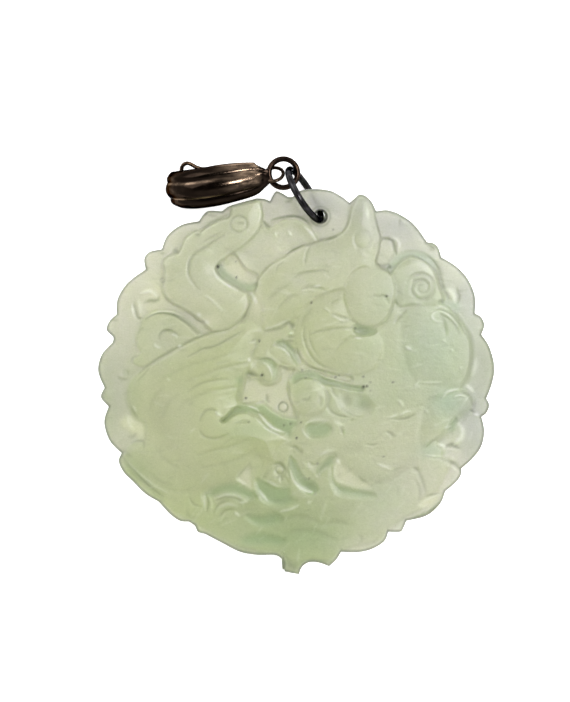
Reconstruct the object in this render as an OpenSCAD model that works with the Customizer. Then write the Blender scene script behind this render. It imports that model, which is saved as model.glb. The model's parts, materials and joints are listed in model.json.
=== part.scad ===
// Carved jade disc on a jump ring, a link ring and a fluted clip bail, lying face up.
// Millimetres, +Z up. The origin is the middle of the flat on the disc's back.

/* [Jade disc] */
// Radius of the disc to the crests of its scallops
disc_r = 27.7; // [25:0.1:31]
// Thickness of the stone at the scalloped rim
rim_t = 1.8; // [1.6:0.05:2]
// Height of the rim's underside above the flat of the back
rim_lift = 2.2; // [2.1:0.05:2.4]
// Height of the highest carving above the face of the rim
relief_h = 2.1; // [1.2:0.1:3]
// Depth of the deepest hollows below the face of the rim
hollow_h = 0.7; // [0.2:0.1:1]
// Radius of the flat on the back
flat_r = 17.5; // [14:0.5:18.5]
// Width of the rounded shoulder from that flat out to the rim's underside
shoulder_w = 3; // [2:0.5:3.5]
// Width of the rounding at the rim's two edges
edge_round = 0.45; // [0.2:0.05:0.7]

/* [Hanging hole] */
// Diameter of the drilled hole
hole_d = 1.9; // [1.85:0.05:2.2]
// Width of the bevel at the hole's two mouths
hole_bevel = 0.15; // [0.1:0.05:0.25]
// Distance from the hole to the nearest edge of its scallop
hole_land = 3.9; // [3.4:0.1:4.2]
// Bearing of the hole from the disc's middle
hole_bearing = 81.6; // [78:0.2:86]

/* [Jump ring] */
// Outer diameter of the ring through the stone
jump_d = 9.1; // [8.8:0.1:9.6]
// Diameter of its wire
jump_wire = 0.95; // [0.8:0.05:1]
// Bearing of the ring's plane, out from the hole
jump_bearing = 120.6; // [112:0.2:126]
// Lean of the ring's plane off the upright
jump_lean = 15; // [4:0.5:16]

/* [Link ring] */
// Outer diameter of the ring between jump ring and bail
link_d = 4.75; // [4.5:0.05:5]
// Diameter of its wire
link_wire = 0.77; // [0.6:0.01:0.8]
// Bearing of its middle from the end of the jump ring
link_bearing = 210; // [200:1:220]
// How far round the link ring the bail has slid from its own heading
link_slide = 2; // [0:1:12]

/* [Bail] */
// Length of the fluted shell, tip to crown
bail_l = 14.5; // [13.5:0.1:16]
// Height of the shell's front above the link ring's wire
bail_front = 2.5; // [2:0.1:3]
// Depth of the bail's back below the link ring's wire
bail_back = 3.6; // [3.3:0.1:4]
// Width of the shell at its widest
bail_w = 5.7; // [5.2:0.1:6.2]
// Wall thickness of the shell
bail_wall = 0.6; // [0.5:0.05:0.7]
// Rise of the shell's middle over its two edges
bail_crown = 1.15; // [0.8:0.05:1.25]
// Rise of the flutes over the grooves between them
flute_h = 0.34; // [0.2:0.02:0.4]
// Heading of the bail's length from the +X axis
bail_heading = 9.8; // [7:0.2:12]
// Roll of the bail about its length, as it lies
bail_roll = 17; // [14:1:20]

/* [Eye and hinge] */
// Diameter of the wire of the eye soldered on the tip
eye_wire = 0.5; // [0.4:0.05:0.6]
// Outer diameter of the hinge barrel
barrel_d = 1.6; // [1.4:0.1:1.8]
// Length of the hinge barrel
barrel_l = 2.3; // [1.8:0.1:2.4]
// Diameter of the gate's pins
pin_d = 0.5; // [0.4:0.02:0.52]
// Distance from the link ring's wire back to the hinge
hinge_back = 1.8; // [1.7:0.1:2.4]

/* [Gate] */
// Diameter of the gate's wire
gate_wire = 0.56; // [0.5:0.02:0.64]
// Width of the gate's round head, to the middle of its wire
gate_head_w = 6; // [5.4:0.1:6.3]
// Width of the gate's waist, to the middle of its wire
gate_waist_w = 3.5; // [3.2:0.05:3.8]

/* [Hidden] */

// Gap left under what stands on the surface, and between rings that touch
rest_gap = 0.03;
ring_gap = 0.09;
// Radial clearance of the gate's pins in the hinge barrel, and gap at its ends
pin_gap = 0.05;
barrel_gap = 0.12;

// Scallops round the rim. Columns: bearing in degrees, reach in percent of disc_r
SCALLOPS = [
    [6, 100], [31, 101.5], [55.5, 100.5], [83, 98.3], [106, 96.2], [128, 98.2], [152, 100.4],
    [176, 100.8], [195, 100.2], [215, 95.4], [236.5, 90.7], [252.5, 91.2], [274, 92.2], [295, 92.8],
    [318, 96], [341.5, 98.5]
];
// Small knobs between the scallops. Columns: bearing in degrees, reach in percent of disc_r
KNOBS = [
    [18, 99.7], [44.3, 99.3], [69.8, 101], [96.6, 96.5], [117.4, 97.2], [140.2, 99.2],
    [162.6, 100.2], [185.8, 99], [205, 99.3], [225, 93.4], [268.4, 96.9], [280, 94], [306.3, 92.5],
    [330.2, 96.2], [352.6, 98.3]
];
// Radii of those scallops and knobs, in percent of disc_r
SCALLOP_ROUND = 36;
KNOB_ROUND = 4.6;

// Carved figures. Each row has the figure's rise in percent of relief_h, then its stations.
// A station's columns are across, up and half width, in percent of disc_r.
FIGURES = [
    // Left neck, from the knob at the top down to its round breast
    [78, [[-24.5, 83, 6], [-34, 76, 9], [-48.5, 64, 11], [-54.5, 51, 12.5], [-46, 40, 13.5], [-34.5, 37, 11]]],
    // Right neck, from its head down to the tail fan
    [86, [[33.5, 87, 5.5], [34, 72, 9], [21, 62, 9], [2, 54, 9], [-12, 41, 8], [-21, 25, 7.5]]],
    // Tail fan that fills the left
    [92, [[-27, 16, 11], [-53, -5, 24], [-53, -27, 24], [-36, -32, 17]]],
    // Hump between the two necks
    [42, [[-8, 73, 8.5], [2, 72, 8.5]]],
    // Cloud at the left
    [50, [[-69, 21, 12], [-57, 20, 10]]],
    // Cloud with a spiral, at the upper right
    [74, [[59, 47, 16.5], [63, 46, 16.5]]],
    // Lotus bud
    [100, [[37.5, 43, 15.5], [39.5, 40, 15.5]]],
    // Lotus leaf
    [76, [[22, 25, 21], [33, 18, 17]]],
    // Second leaf, at the right
    [80, [[69, 18, 20], [64, -3, 22], [60, -22, 19]]],
    // Stems and folds below the lotus leaf
    [62, [[10, -9, 10], [32, -12, 17], [47, -30, 20], [24, -34, 13]]],
    // Scroll across the tail fan, from its knob to the right
    [100, [[-43, -20, 6], [-32, -17, 4], [-24, -15, 4], [-16, -20, 4.5], [-5, -28, 4]]],
    // Curl by the middle
    [64, [[-16, 6, 6.5], [-9, 16, 4], [0, 9, 4]]],
    // Bed of waves along the bottom
    [50, [[-44, -58, 12], [-18, -66, 14], [10, -68, 16], [38, -62, 15], [58, -52, 13]]],
    // Crests of the waves
    [78, [[-46, -66, 4], [-38, -55, 4.5], [-24, -55, 4.5], [-14, -63, 4]]],
    [80, [[-18, -52, 4], [-4, -42, 4.5], [2, -52, 4.5], [12, -58, 4]]],
    [72, [[12, -48, 4], [19, -40, 3.5], [22, -56, 5], [40, -60, 4.5]]],
    // Leaf at the lower right
    [60, [[64, -44, 9], [74, -48, 8], [62, -58, 8]]]
];
// Hollows sunk between the figures. Columns: across, up and radius in percent of disc_r, then depth
// in percent of hollow_h
HOLLOWS = [
    [-28, 57, 6.5, 100], [-23, 53, 5, 100], [45, 66, 5, 80], [-18, -5, 6, 100], [-10, -11, 6, 100],
    [80, -28, 5.5, 80], [25, -47, 5.5, 90], [-23, -46, 3.5, 60]
];

// Cells along each side of the grid that carries the carving
grid_n = 56;
grid_half = grid_n / 2;
// Straight steps between two stations of a figure
figure_steps = 3;

function vec(bearing, length = 1) = length * [cos(bearing), sin(bearing)];
function share(v, low, high) = min(1, max(0, (v - low) / (high - low)));
function mix(a, b, t) = a + (b - a) * t;
// A point of the smooth curve that runs through p1 and p2, between p0 and p3
function curve_at(p0, p1, p2, p3, t) =
    0.5 * (2 * p1 + (p2 - p0) * t + (2 * p0 - 5 * p1 + 4 * p2 - p3) * t * t
        + (3 * p1 - p0 - 3 * p2 + p3) * t * t * t);
// That curve through a whole list of stations, with a number of steps between each two
function curve(stations, steps) = let (last = len(stations) - 1) [
    for (i = [0:last - 1], k = [0:steps - 1])
        curve_at(stations[max(i - 1, 0)], stations[i], stations[i + 1], stations[min(i + 2, last)], k / steps),
    stations[last]
];

// Reach of a round bump of that radius, seen from the disc's middle, at an angle off the bump's bearing
function bump_reach(off, reach, r) = let (c = reach - r, side = c * sin(off))
    cos(off) > 0 && abs(side) < r ? c * cos(off) + sqrt(r * r - side * side) : 0;
function rim_reach(bearing) = disc_r / 100 * max(concat(
    [for (s = SCALLOPS) bump_reach(bearing - s[0], s[1], SCALLOP_ROUND)],
    [for (k = KNOBS) bump_reach(bearing - k[0], k[1], KNOB_ROUND)]));

FIGURE_LINES = [for (f = FIGURES) let (line = curve(f[1], figure_steps), wide = max([for (s = line) s[2]]))
    [f[0] / 100, line,
        min([for (s = line) s[0]]) - wide, max([for (s = line) s[0]]) + wide,
        min([for (s = line) s[1]]) - wide, max([for (s = line) s[1]]) + wide]];

// Rise of a figure over one straight step, as a share: flat on top with a round shoulder
function step_rise(p, a, b) = let (
        run = [b[0] - a[0], b[1] - a[1]],
        from = [p[0] - a[0], p[1] - a[1]],
        t = share(from * run, 0, max(run * run, 0.001)),
        off = norm(from - run * t) / mix(a[2], b[2], t))
    off >= 1 ? 0 : 1 - pow(off, 4);
function figure_rise(p, f) =
    p[0] < f[2] || p[0] > f[3] || p[1] < f[4] || p[1] > f[5] ? 0
    : f[0] * max([for (i = [0:len(f[1]) - 2]) step_rise(p, f[1][i], f[1][i + 1])]);
function hollow_share(p, h) = let (off = norm([p[0] - h[0], p[1] - h[1]]) / h[2])
    off >= 1 ? 0 : h[3] / 100 * (1 - pow(off, 4));
// Height of the carved face above the rim's face, at a place in millimetres
function carving(x, y) = let (
        p = [x, y] * 100 / disc_r,
        rise = max([for (f = FIGURE_LINES) figure_rise(p, f)]),
        sink = max([for (h = HOLLOWS) hollow_share(p, h)]))
    mix(relief_h * rise, -hollow_h, sink);

rim_top = rim_lift + rim_t;
// Bearing of a grid point on its square ring, so that the rings become round
function grid_bearing(i, j) = let (k = max(abs(i), abs(j)))
    k == 0 ? 0 : i == k ? 45 * j / k : j == k ? 90 - 45 * i / k : i == -k ? 180 - 45 * j / k : 270 + 45 * i / k;
function face_point(i, j) = let (
        f = max(abs(i), abs(j)) / grid_half,
        bearing = grid_bearing(i, j),
        r = f * mix(disc_r, rim_reach(bearing) - edge_round, pow(f, 3)),
        at = vec(bearing, r))
    [at.x, at.y, rim_top + (f == 1 ? 0 : carving(at.x, at.y))];
// Rings below the face, from the rim's outer edge to the flat of the back
function back_ring(radius_of, z) = [for (m = [0:4 * grid_n - 1])
    let (bearing = 360 * m / (4 * grid_n), at = vec(bearing, radius_of(bearing))) [at.x, at.y, z]];

module stone() {
    side = grid_n + 1;
    ring_n = 4 * grid_n;
    face = [for (i = [-grid_half:grid_half], j = [-grid_half:grid_half]) face_point(i, j)];
    shoulder_r = flat_r + shoulder_w;
    rings = [
        back_ring(function (b) rim_reach(b), rim_lift + rim_t * 0.6),
        back_ring(function (b) rim_reach(b), rim_lift + rim_t * 0.4),
        back_ring(function (b) rim_reach(b) - edge_round, rim_lift),
        back_ring(function (b) shoulder_r, rim_lift),
        back_ring(function (b) mix(flat_r, shoulder_r, 0.75), rim_lift * 0.35),
        back_ring(function (b) flat_r, 0)
    ];
    // Grid points round the edge of the face, counter-clockwise from bearing 0
    h = grid_half;
    border = [for (m = [0:ring_n - 1]) let (k = (m + h) % ring_n, part = floor(k / grid_n), s = k % grid_n)
        part == 0 ? [h, s - h] : part == 1 ? [h - s, h] : part == 2 ? [-h, h - s] : [s - h, -h]];
    function face_index(p) = (p[0] + h) * side + p[1] + h;
    function ring_index(r, m) = r < 0 ? face_index(border[m % ring_n]) : side * side + r * ring_n + m % ring_n;
    points = concat(face, [for (r = rings, p = r) p]);
    cells = [for (i = [0:grid_n - 1], j = [0:grid_n - 1]) let (a = i * side + j, b = a + side)
        each (i < h) == (j < h) ? [[a, a + 1, b + 1], [a, b + 1, b]] : [[a, a + 1, b], [a + 1, b + 1, b]]];
    walls = [for (r = [-1:len(rings) - 2], m = [0:ring_n - 1])
        each [[ring_index(r, m), ring_index(r, m + 1), ring_index(r + 1, m + 1)],
            [ring_index(r, m), ring_index(r + 1, m + 1), ring_index(r + 1, m)]]];
    flat = [[for (m = [0:ring_n - 1]) ring_index(len(rings) - 1, m)]];
    polyhedron(points, concat(cells, walls, flat), convexity = 8);
}

hole_at = vec(hole_bearing, rim_reach(hole_bearing) - hole_land);

module jade_disc() {
    past = 1;
    color("#c3cda5")
    difference() {
        stone();
        translate([hole_at.x, hole_at.y, rim_lift - past])
            cylinder(h = rim_t + 2 * past, d = hole_d, $fn = 64);
        for (end = [0, 1])
            translate([hole_at.x, hole_at.y, end == 0 ? rim_lift : rim_top])
            rotate([end * 180, 0, 0])
            translate([0, 0, -past])
            cylinder(h = past + hole_bevel, d1 = hole_d + 2 * hole_bevel + 2 * past, d2 = hole_d, $fn = 64);
    }
}

// A ring of round wire, flat on the XY plane
module wire_ring(outer_d, wire_d) {
    rotate_extrude($fn = 96)
    translate([(outer_d - wire_d) / 2, 0])
    circle(d = wire_d, $fn = 32);
}

// The jump ring stands on the surface and passes up through the hole
jump_r = (jump_d - jump_wire) / 2;
jump_z = rest_gap + jump_wire / 2 + jump_r * cos(jump_lean);
// Distance out from the hole at which the ring clears the lower outer lip by as much as the upper inner one
jump_drop = jump_z - rim_lift - hole_bevel;
jump_climb = jump_z - rim_top + hole_bevel;
jump_out = (sqrt(pow(jump_r - jump_wire / 2, 2) - pow(jump_drop, 2))
    + sqrt(pow(jump_r + jump_wire / 2, 2) - pow(jump_climb, 2))) / 2;
jump_side = (jump_z - rim_lift - rim_t / 2) * tan(jump_lean);
jump_at = hole_at + vec(jump_bearing, jump_out) + vec(jump_bearing + 90, jump_side);

module jump_ring() {
    color("#37363a")
    translate([jump_at.x, jump_at.y, jump_z])
    rotate([0, 0, jump_bearing])
    rotate([90 - jump_lean, 0, 0])
    wire_ring(jump_d, jump_wire);
}

// The bail rests on the low side of its gate, and the link ring lies level through the bail's eye
bail_z = rest_gap + gate_wire / 2 + gate_head_w / 2 * sin(bail_roll)
    + (bail_back - gate_wire / 2) * cos(bail_roll);
link_r = (link_d - link_wire) / 2;
jump_end = jump_at + vec(jump_bearing, jump_r);
link_at = jump_end + vec(link_bearing, link_r - link_wire / 2 - jump_wire / 2 - ring_gap);

module link_ring() {
    color("#3a3128")
    translate([link_at.x, link_at.y, bail_z])
    wire_ring(link_d, link_wire);
}

// In the bail's own frame the link ring's wire crosses at the origin, the bail runs along -X,
// and its front faces +Z
bail_at = link_at + vec(bail_heading + 180 - link_slide, link_r);
module place_bail() {
    translate([bail_at.x, bail_at.y, bail_z])
    rotate([0, 0, bail_heading])
    rotate([bail_roll, 0, 0])
    children();
}

// Sections of the shell, from the tip over the front to the curl at the crown. Columns: place along
// the bail in percent of bail_l, height in percent of bail_front above the wire or of bail_back
// below it, half width in percent of bail_w / 2, flute depth in percent of flute_h
SHELL_SECTIONS = [
    [0.5, 47, 33, 0], [5, 52, 52, 20], [11, 64, 76, 60], [20, 77, 88, 90], [34, 93, 94, 100],
    [50, 100, 100, 100], [66, 96, 100, 100], [80, 74, 99, 100], [91, 30, 96, 100],
    [97.5, -14, 91, 100], [100, -36, 86, 95], [98.6, -58, 80, 80], [94.5, -78, 70, 60], [89.5, -90, 56, 30]
];
shell_steps = 2;
// Edge of the middle flute, as a share of the half width
groove_at = 0.47;
// Wall at a point of no width, as a share of bail_wall
tip_wall = 0.5;
// Wall along the shell's two edges, as a share of the wall along its middle
edge_wall = 0.7;
shell_line = [for (s = curve(SHELL_SECTIONS, shell_steps))
    [-s[0] / 100 * bail_l, s[1] / 100 * (s[1] > 0 ? bail_front : bail_back), s[2] / 100 * bail_w / 2, s[3] / 100]];
// Rise of the three flutes over a smooth crown, as a share of flute_h
function flute(t) = let (u = abs(t))
    u < groove_at ? cos(90 * u / groove_at) : 0.85 * sin(180 * (u - groove_at) / (1 - groove_at));
// Crown and flutes flatten towards the narrow ends, where narrow is the width as a share of the widest
function crown_rise(t, narrow) = -bail_crown * pow(narrow * t, 2);
function outer_rise(t, depth, narrow) = crown_rise(t, narrow) + flute_h * depth * narrow * (flute(t) - 0.5);
function inner_rise(t, narrow) = crown_rise(t, narrow) - flute_h / 2 * narrow
    - bail_wall * mix(tip_wall, 1, narrow) * mix(1, edge_wall, t * t);

module shell() {
    outer_n = 20;
    inner_n = 8;
    last = len(shell_line) - 1;
    outer_ts = [for (k = [0:outer_n]) -1 + 2 * k / outer_n];
    inner_ts = [for (k = [0:inner_n]) 1 - 2 * k / inner_n];
    loop_n = len(outer_ts) + len(inner_ts);
    points = [for (i = [0:last]) let (
            s = shell_line[i],
            before = shell_line[max(i - 1, 0)],
            after = shell_line[min(i + 1, last)],
            run = [after[0] - before[0], after[1] - before[1]],
            out = [run[1], -run[0]] / norm(run),
            narrow = s[2] / (bail_w / 2))
        each concat(
            [for (t = outer_ts) let (n = outer_rise(t, s[3], narrow)) [s[0] + out[0] * n, s[2] * t, s[1] + out[1] * n]],
            [for (t = inner_ts) let (n = inner_rise(t, narrow)) [s[0] + out[0] * n, s[2] * t, s[1] + out[1] * n]])];
    sides = [for (i = [0:last - 1], k = [0:loop_n - 1]) let (a = i * loop_n + k, b = i * loop_n + (k + 1) % loop_n)
        each [[a, b + loop_n, b], [a, a + loop_n, b + loop_n]]];
    // Each end is closed by strips from its outer line to its inner line
    function cap_strip(base) = [for (k = [0:outer_n - 1]) let (
            near = floor(k * inner_n / outer_n),
            far = floor((k + 1) * inner_n / outer_n),
            a = base + k,
            b = base + k + 1,
            c = base + outer_n + 1 + inner_n - near,
            d = base + outer_n + 1 + inner_n - far)
        each concat([[a, b, c]], near == far ? [] : [[b, d, c]])];
    function flip(faces) = [for (f = faces) [f[0], f[2], f[1]]];
    polyhedron(points, concat(sides, cap_strip(0), flip(cap_strip(last * loop_n))), convexity = 6);
}

hinge_z = -0.45 * bail_back;
hinge_at = [-hinge_back, 0, hinge_z];
// The eye is tilted so that the link ring threads it, and its near side is soldered to the lug
eye_near = link_wire / 2 + eye_wire / 2 + ring_gap;
eye_far = 1.98;
eye_r = (eye_near + eye_far) / 2;
eye_tilt = 60;

module eye() {
    translate([eye_far - eye_r, 0, 0])
    rotate([-eye_tilt, 0, 0])
    wire_ring(2 * eye_r + eye_wire, eye_wire);
}

lug_w = 1.1;
module lug() {
    front = -link_wire / 2 - 0.4;
    back = -hinge_back - barrel_d / 4;
    translate([back, -lug_w / 2, hinge_z])
    cube([front - back, lug_w, -hinge_z + 0.28 * bail_front]);
}

module bail_shell() {
    color("#3d3023")
    place_bail()
    difference() {
        union() {
            shell();
            lug();
            eye();
            translate(hinge_at)
                rotate([90, 0, 0])
                cylinder(h = barrel_l, d = barrel_d, center = true, $fn = 48);
        }
        translate(hinge_at)
            rotate([90, 0, 0])
            cylinder(h = 2 * barrel_l, d = pin_d + 2 * pin_gap, center = true, $fn = 48);
    }
}

// Half of the gate's wire, from its pin round to the middle of its head. Columns: place along the
// bail in percent of the way from hinge to head, depth in percent of the way from hinge to back,
// and half width in percent of the way from waist to head
GATE_STATIONS = [
    [0.5, 0, -17], [3, 10, -15], [12, 36, -10], [28, 68, -2], [50, 92, 2], [68, 100, 0], [78, 100, 30],
    [88, 100, 92], [95, 99, 92], [99.4, 97, 45], [100, 96, -40], [100, 96, -160]
];
gate_steps = 2;
gate_end = 0.83 * bail_l;
gate_line = let (half = curve([for (s = GATE_STATIONS) [
        mix(-hinge_back, -gate_end, s[0] / 100),
        mix(gate_waist_w, gate_head_w, s[2] / 100) / 2,
        mix(hinge_z, -(bail_back - gate_wire / 2), s[1] / 100)]], gate_steps))
    concat([[-hinge_back, barrel_l / 2 + barrel_gap, hinge_z]], half,
        [for (i = [len(half) - 1:-1:0]) [half[i].x, -half[i].y, half[i].z]],
        [[-hinge_back, -barrel_l / 2 - barrel_gap, hinge_z]]);

// A round wire swept along a line of points
module swept_wire(line, wire_d, sides = 12) {
    last = len(line) - 1;
    function unit(v) = v / norm(v);
    function ahead(i) = unit(line[min(i + 1, last)] - line[max(i - 1, 0)]);
    // Each ring's side vector is the one before it, turned as little as the wire's bend allows
    function sideways(i) = i == 0 ? unit(cross(ahead(0), [0, 0, 1])) : let (old = sideways(i - 1), a = ahead(i))
        unit(old - a * (old * a));
    points = [for (i = [0:last]) let (a = ahead(i), s = sideways(i), u = cross(a, s))
        each [for (k = [0:sides - 1]) line[i] + wire_d / 2 * (s * cos(360 * k / sides) + u * sin(360 * k / sides))]];
    skin = [for (i = [0:last - 1], k = [0:sides - 1]) let (a = i * sides + k, b = i * sides + (k + 1) % sides)
        each [[a, b + sides, b], [a, a + sides, b + sides]]];
    polyhedron(points, concat(skin, [[for (k = [0:sides - 1]) k]],
        [[for (k = [sides - 1:-1:0]) last * sides + k]]), convexity = 6);
}

module bail_gate() {
    inner = 0.3;
    color("#4a3826")
    place_bail()
    union() {
        swept_wire(gate_line, gate_wire);
        for (side = [-1, 1])
            translate(hinge_at + [0, side * inner, 0])
            rotate([-side * 90, 0, 0])
            cylinder(h = barrel_l / 2 + 2 * barrel_gap - inner, d = pin_d, $fn = 48);
    }
}

jade_disc();
jump_ring();
link_ring();
bail_shell();
bail_gate();
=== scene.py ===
"""Carved jade pendant with its rings and fluted bail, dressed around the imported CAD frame."""
import json
from math import cos, pi, radians, sin, sqrt, tan

import bpy
import numpy as np
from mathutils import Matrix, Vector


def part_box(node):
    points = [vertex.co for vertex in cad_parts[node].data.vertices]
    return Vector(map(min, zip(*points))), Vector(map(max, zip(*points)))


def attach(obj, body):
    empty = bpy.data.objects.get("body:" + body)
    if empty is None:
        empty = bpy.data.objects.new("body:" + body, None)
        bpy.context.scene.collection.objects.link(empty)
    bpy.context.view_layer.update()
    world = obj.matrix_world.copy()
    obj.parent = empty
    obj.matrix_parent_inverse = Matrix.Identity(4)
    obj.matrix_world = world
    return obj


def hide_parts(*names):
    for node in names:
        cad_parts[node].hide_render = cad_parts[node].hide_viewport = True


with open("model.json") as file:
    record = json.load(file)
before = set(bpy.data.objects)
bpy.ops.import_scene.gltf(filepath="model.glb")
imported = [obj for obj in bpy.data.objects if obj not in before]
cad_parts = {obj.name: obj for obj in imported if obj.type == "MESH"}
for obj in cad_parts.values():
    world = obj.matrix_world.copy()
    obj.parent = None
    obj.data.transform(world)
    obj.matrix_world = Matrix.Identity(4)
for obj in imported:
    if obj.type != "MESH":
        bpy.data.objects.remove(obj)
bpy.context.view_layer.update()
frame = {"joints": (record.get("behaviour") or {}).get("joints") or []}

MM = 0.001

# The photograph's frame: pixels across and down, millimetres for a pixel, and the middle of the disc in it
PHOTO_W = 570
PHOTO_H = 702
PHOTO_MM = 0.14
DISC_PX = (296.0, 381.7)

# Jade disc, in millimetres, as in the CAD part
DISC_R = 27.7
RIM_LIFT = 2.2
RIM_T = 1.8
RIM_TOP = RIM_LIFT + RIM_T
FLAT_R = 17.5
SHOULDER_W = 3.0
EDGE_ROUND = 0.45
HOLE_D = 1.9
HOLE_BEVEL = 0.15

# Jump ring and link ring, in millimetres and degrees, as in the CAD part
JUMP_D = 9.1
JUMP_WIRE = 0.95
JUMP_R = (JUMP_D - JUMP_WIRE) / 2
JUMP_BEARING = 120.6
JUMP_LEAN = 15.0
LINK_D = 4.75
LINK_WIRE = 0.77
LINK_R = (LINK_D - LINK_WIRE) / 2
LINK_SLIDE = 2.0
RING_GAP = 0.09

# Bail with its eye, hinge and gate, in millimetres and degrees, as in the CAD part
BAIL_HEADING = 9.8
BAIL_ROLL = 17.0
BAIL_L = 14.5
BAIL_FRONT = 2.5
BAIL_BACK = 3.6
BAIL_W = 5.7
BAIL_WALL = 0.6
BAIL_CROWN = 1.15
FLUTE_H = 0.34
GROOVE_AT = 0.47
TIP_WALL = 0.5
EDGE_WALL = 0.7
EYE_WIRE = 0.5
EYE_NEAR = LINK_WIRE / 2 + EYE_WIRE / 2 + RING_GAP
EYE_FAR = 1.98
EYE_R = (EYE_NEAR + EYE_FAR) / 2
EYE_TILT = -60.0
LUG_W = 1.1
LUG_FRONT = -0.785
BARREL_D = 1.6
BARREL_L = 2.3
BARREL_GAP = 0.12
PIN_D = 0.5
PIN_GAP = 0.05
PIN_INNER = 0.3
HINGE_BACK = 1.8
HINGE_Z = -0.45 * BAIL_BACK
GATE_WIRE = 0.56
GATE_HEAD_W = 6.0
GATE_WAIST_W = 3.5
GATE_END = 0.83 * BAIL_L
LUG_TOP = 0.28 * BAIL_FRONT
# Points across the shell's middle flute and across one of its outer ones
MIDDLE_POINTS = 49
SIDE_POINTS = 30
# Finer shape of the bail: power of the middle flute and height of the outer ones, share of the half width
# where the shell's edge begins to round, and cut corners of lug and barrel in millimetres
FLUTE_POWER = 0.8
OUTER_FLUTE = 0.85
EDGE_FROM = 0.92
LUG_CUT = 0.12
BARREL_SOFT = 0.08

# Sections of the bail's shell, from tip to curl. Columns: place in percent of the length, height in
# percent of the front or of the back, half width in percent, flute depth in percent
SHELL_SECTIONS = [
    (0.5, 47, 33, 0), (5, 52, 52, 20), (11, 64, 76, 60), (20, 77, 88, 90), (34, 93, 94, 100),
    (50, 100, 100, 100), (66, 96, 100, 100), (80, 74, 99, 100), (91, 30, 96, 100), (97.5, -14, 91, 100),
    (100, -36, 86, 95), (98.6, -58, 80, 80), (94.5, -78, 70, 60), (89.5, -90, 56, 30),
]
# Half of the gate's wire, from hinge to head. Columns: place in percent of the way from hinge to head,
# depth in percent of the way from hinge to back, half width in percent of the way from waist to head
GATE_STATIONS = [
    (0.5, 0, -17), (3, 10, -15), (12, 36, -10), (28, 68, -2), (50, 92, 2), (68, 100, 0), (78, 100, 30),
    (88, 100, 92), (95, 99, 92), (99.4, 97, 45), (100, 96, -40), (100, 96, -160),
]

# Share of the heights below that the worn carving keeps
RELIEF = 0.72

# Working grid of the carving, in photo pixels
GRID_FROM = (88.0, 178.0)
GRID_TO = (504.0, 586.0)
GRID_STEP = 0.75

# Steps between two points of a smooth curve: for a form, for the rim, and for the distance to the rim
FORM_STEPS = 4
RIM_STEPS = 6
FADE_STEPS = 3

# A form with a softer edge than this, in photo pixels, has no drawn edge of painted shade and painted
# highlight
SHARP_BELOW = 3.0
# Step in millimetres where a drawn edge has its full strength
STEP_FULL = 0.6
# Painted shade as a dark line outside a form's edge, and a painted highlight as a pale line inside it.
# Columns: place inwards and width in pixels, tone
EDGE_LINE = (-0.3, 0.9, 0.23)
EDGE_GLINT = (2.2, 1.2, 0.12)
# Drawn edges come and go in slow waves: middle and swing of their strength, and how fast the waves turn
# with the place across, with its twist and with the place down
WANDER_MID = 0.75
WANDER_SWING = 0.25
WANDER_TURN = (0.19, 0.11, 0.23)
WANDER_TWIST = 2.0
# Margin round a form that it may change, in pixels, and round a stroke, in half widths
FORM_MARGIN = 9.0
STROKE_MARGIN = 3.0
# Share of its width that a stroke keeps at its ends
STROKE_END = 0.45
# Painted shade on steep walls: slope where it begins, over what span of slopes it grows, and how dark it gets
WALL_FROM = 0.25
WALL_SPAN = 1.5
WALL_PAINTED_SHADE = 0.10
# Pixels from the rim's outline between which the carving rises, and blur of the coloured layers
RIM_FADE = (0.5, 4.0)
LAYER_BLUR = 3.0

# Mesh of the stone: squares along a side of the face, powers that bring its grid to the disc's outline and
# to the scallops, rings of the back's shoulder and where it runs, in shares of its width from the flat
FACE_GRID = 292
OUTLINE_POWER = 3
SCALLOP_POWER = 18
SCALLOP_SPAN = 9
SHOULDER_RINGS = 6
SHOULDER_RUN = (-0.1, 1.3)
# Lower mouth of the hole in hole radii: half length, half width, shift outwards and sideways
HOLE_MOUTH = (0.66, 0.58, 0.30, -0.22)

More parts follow.
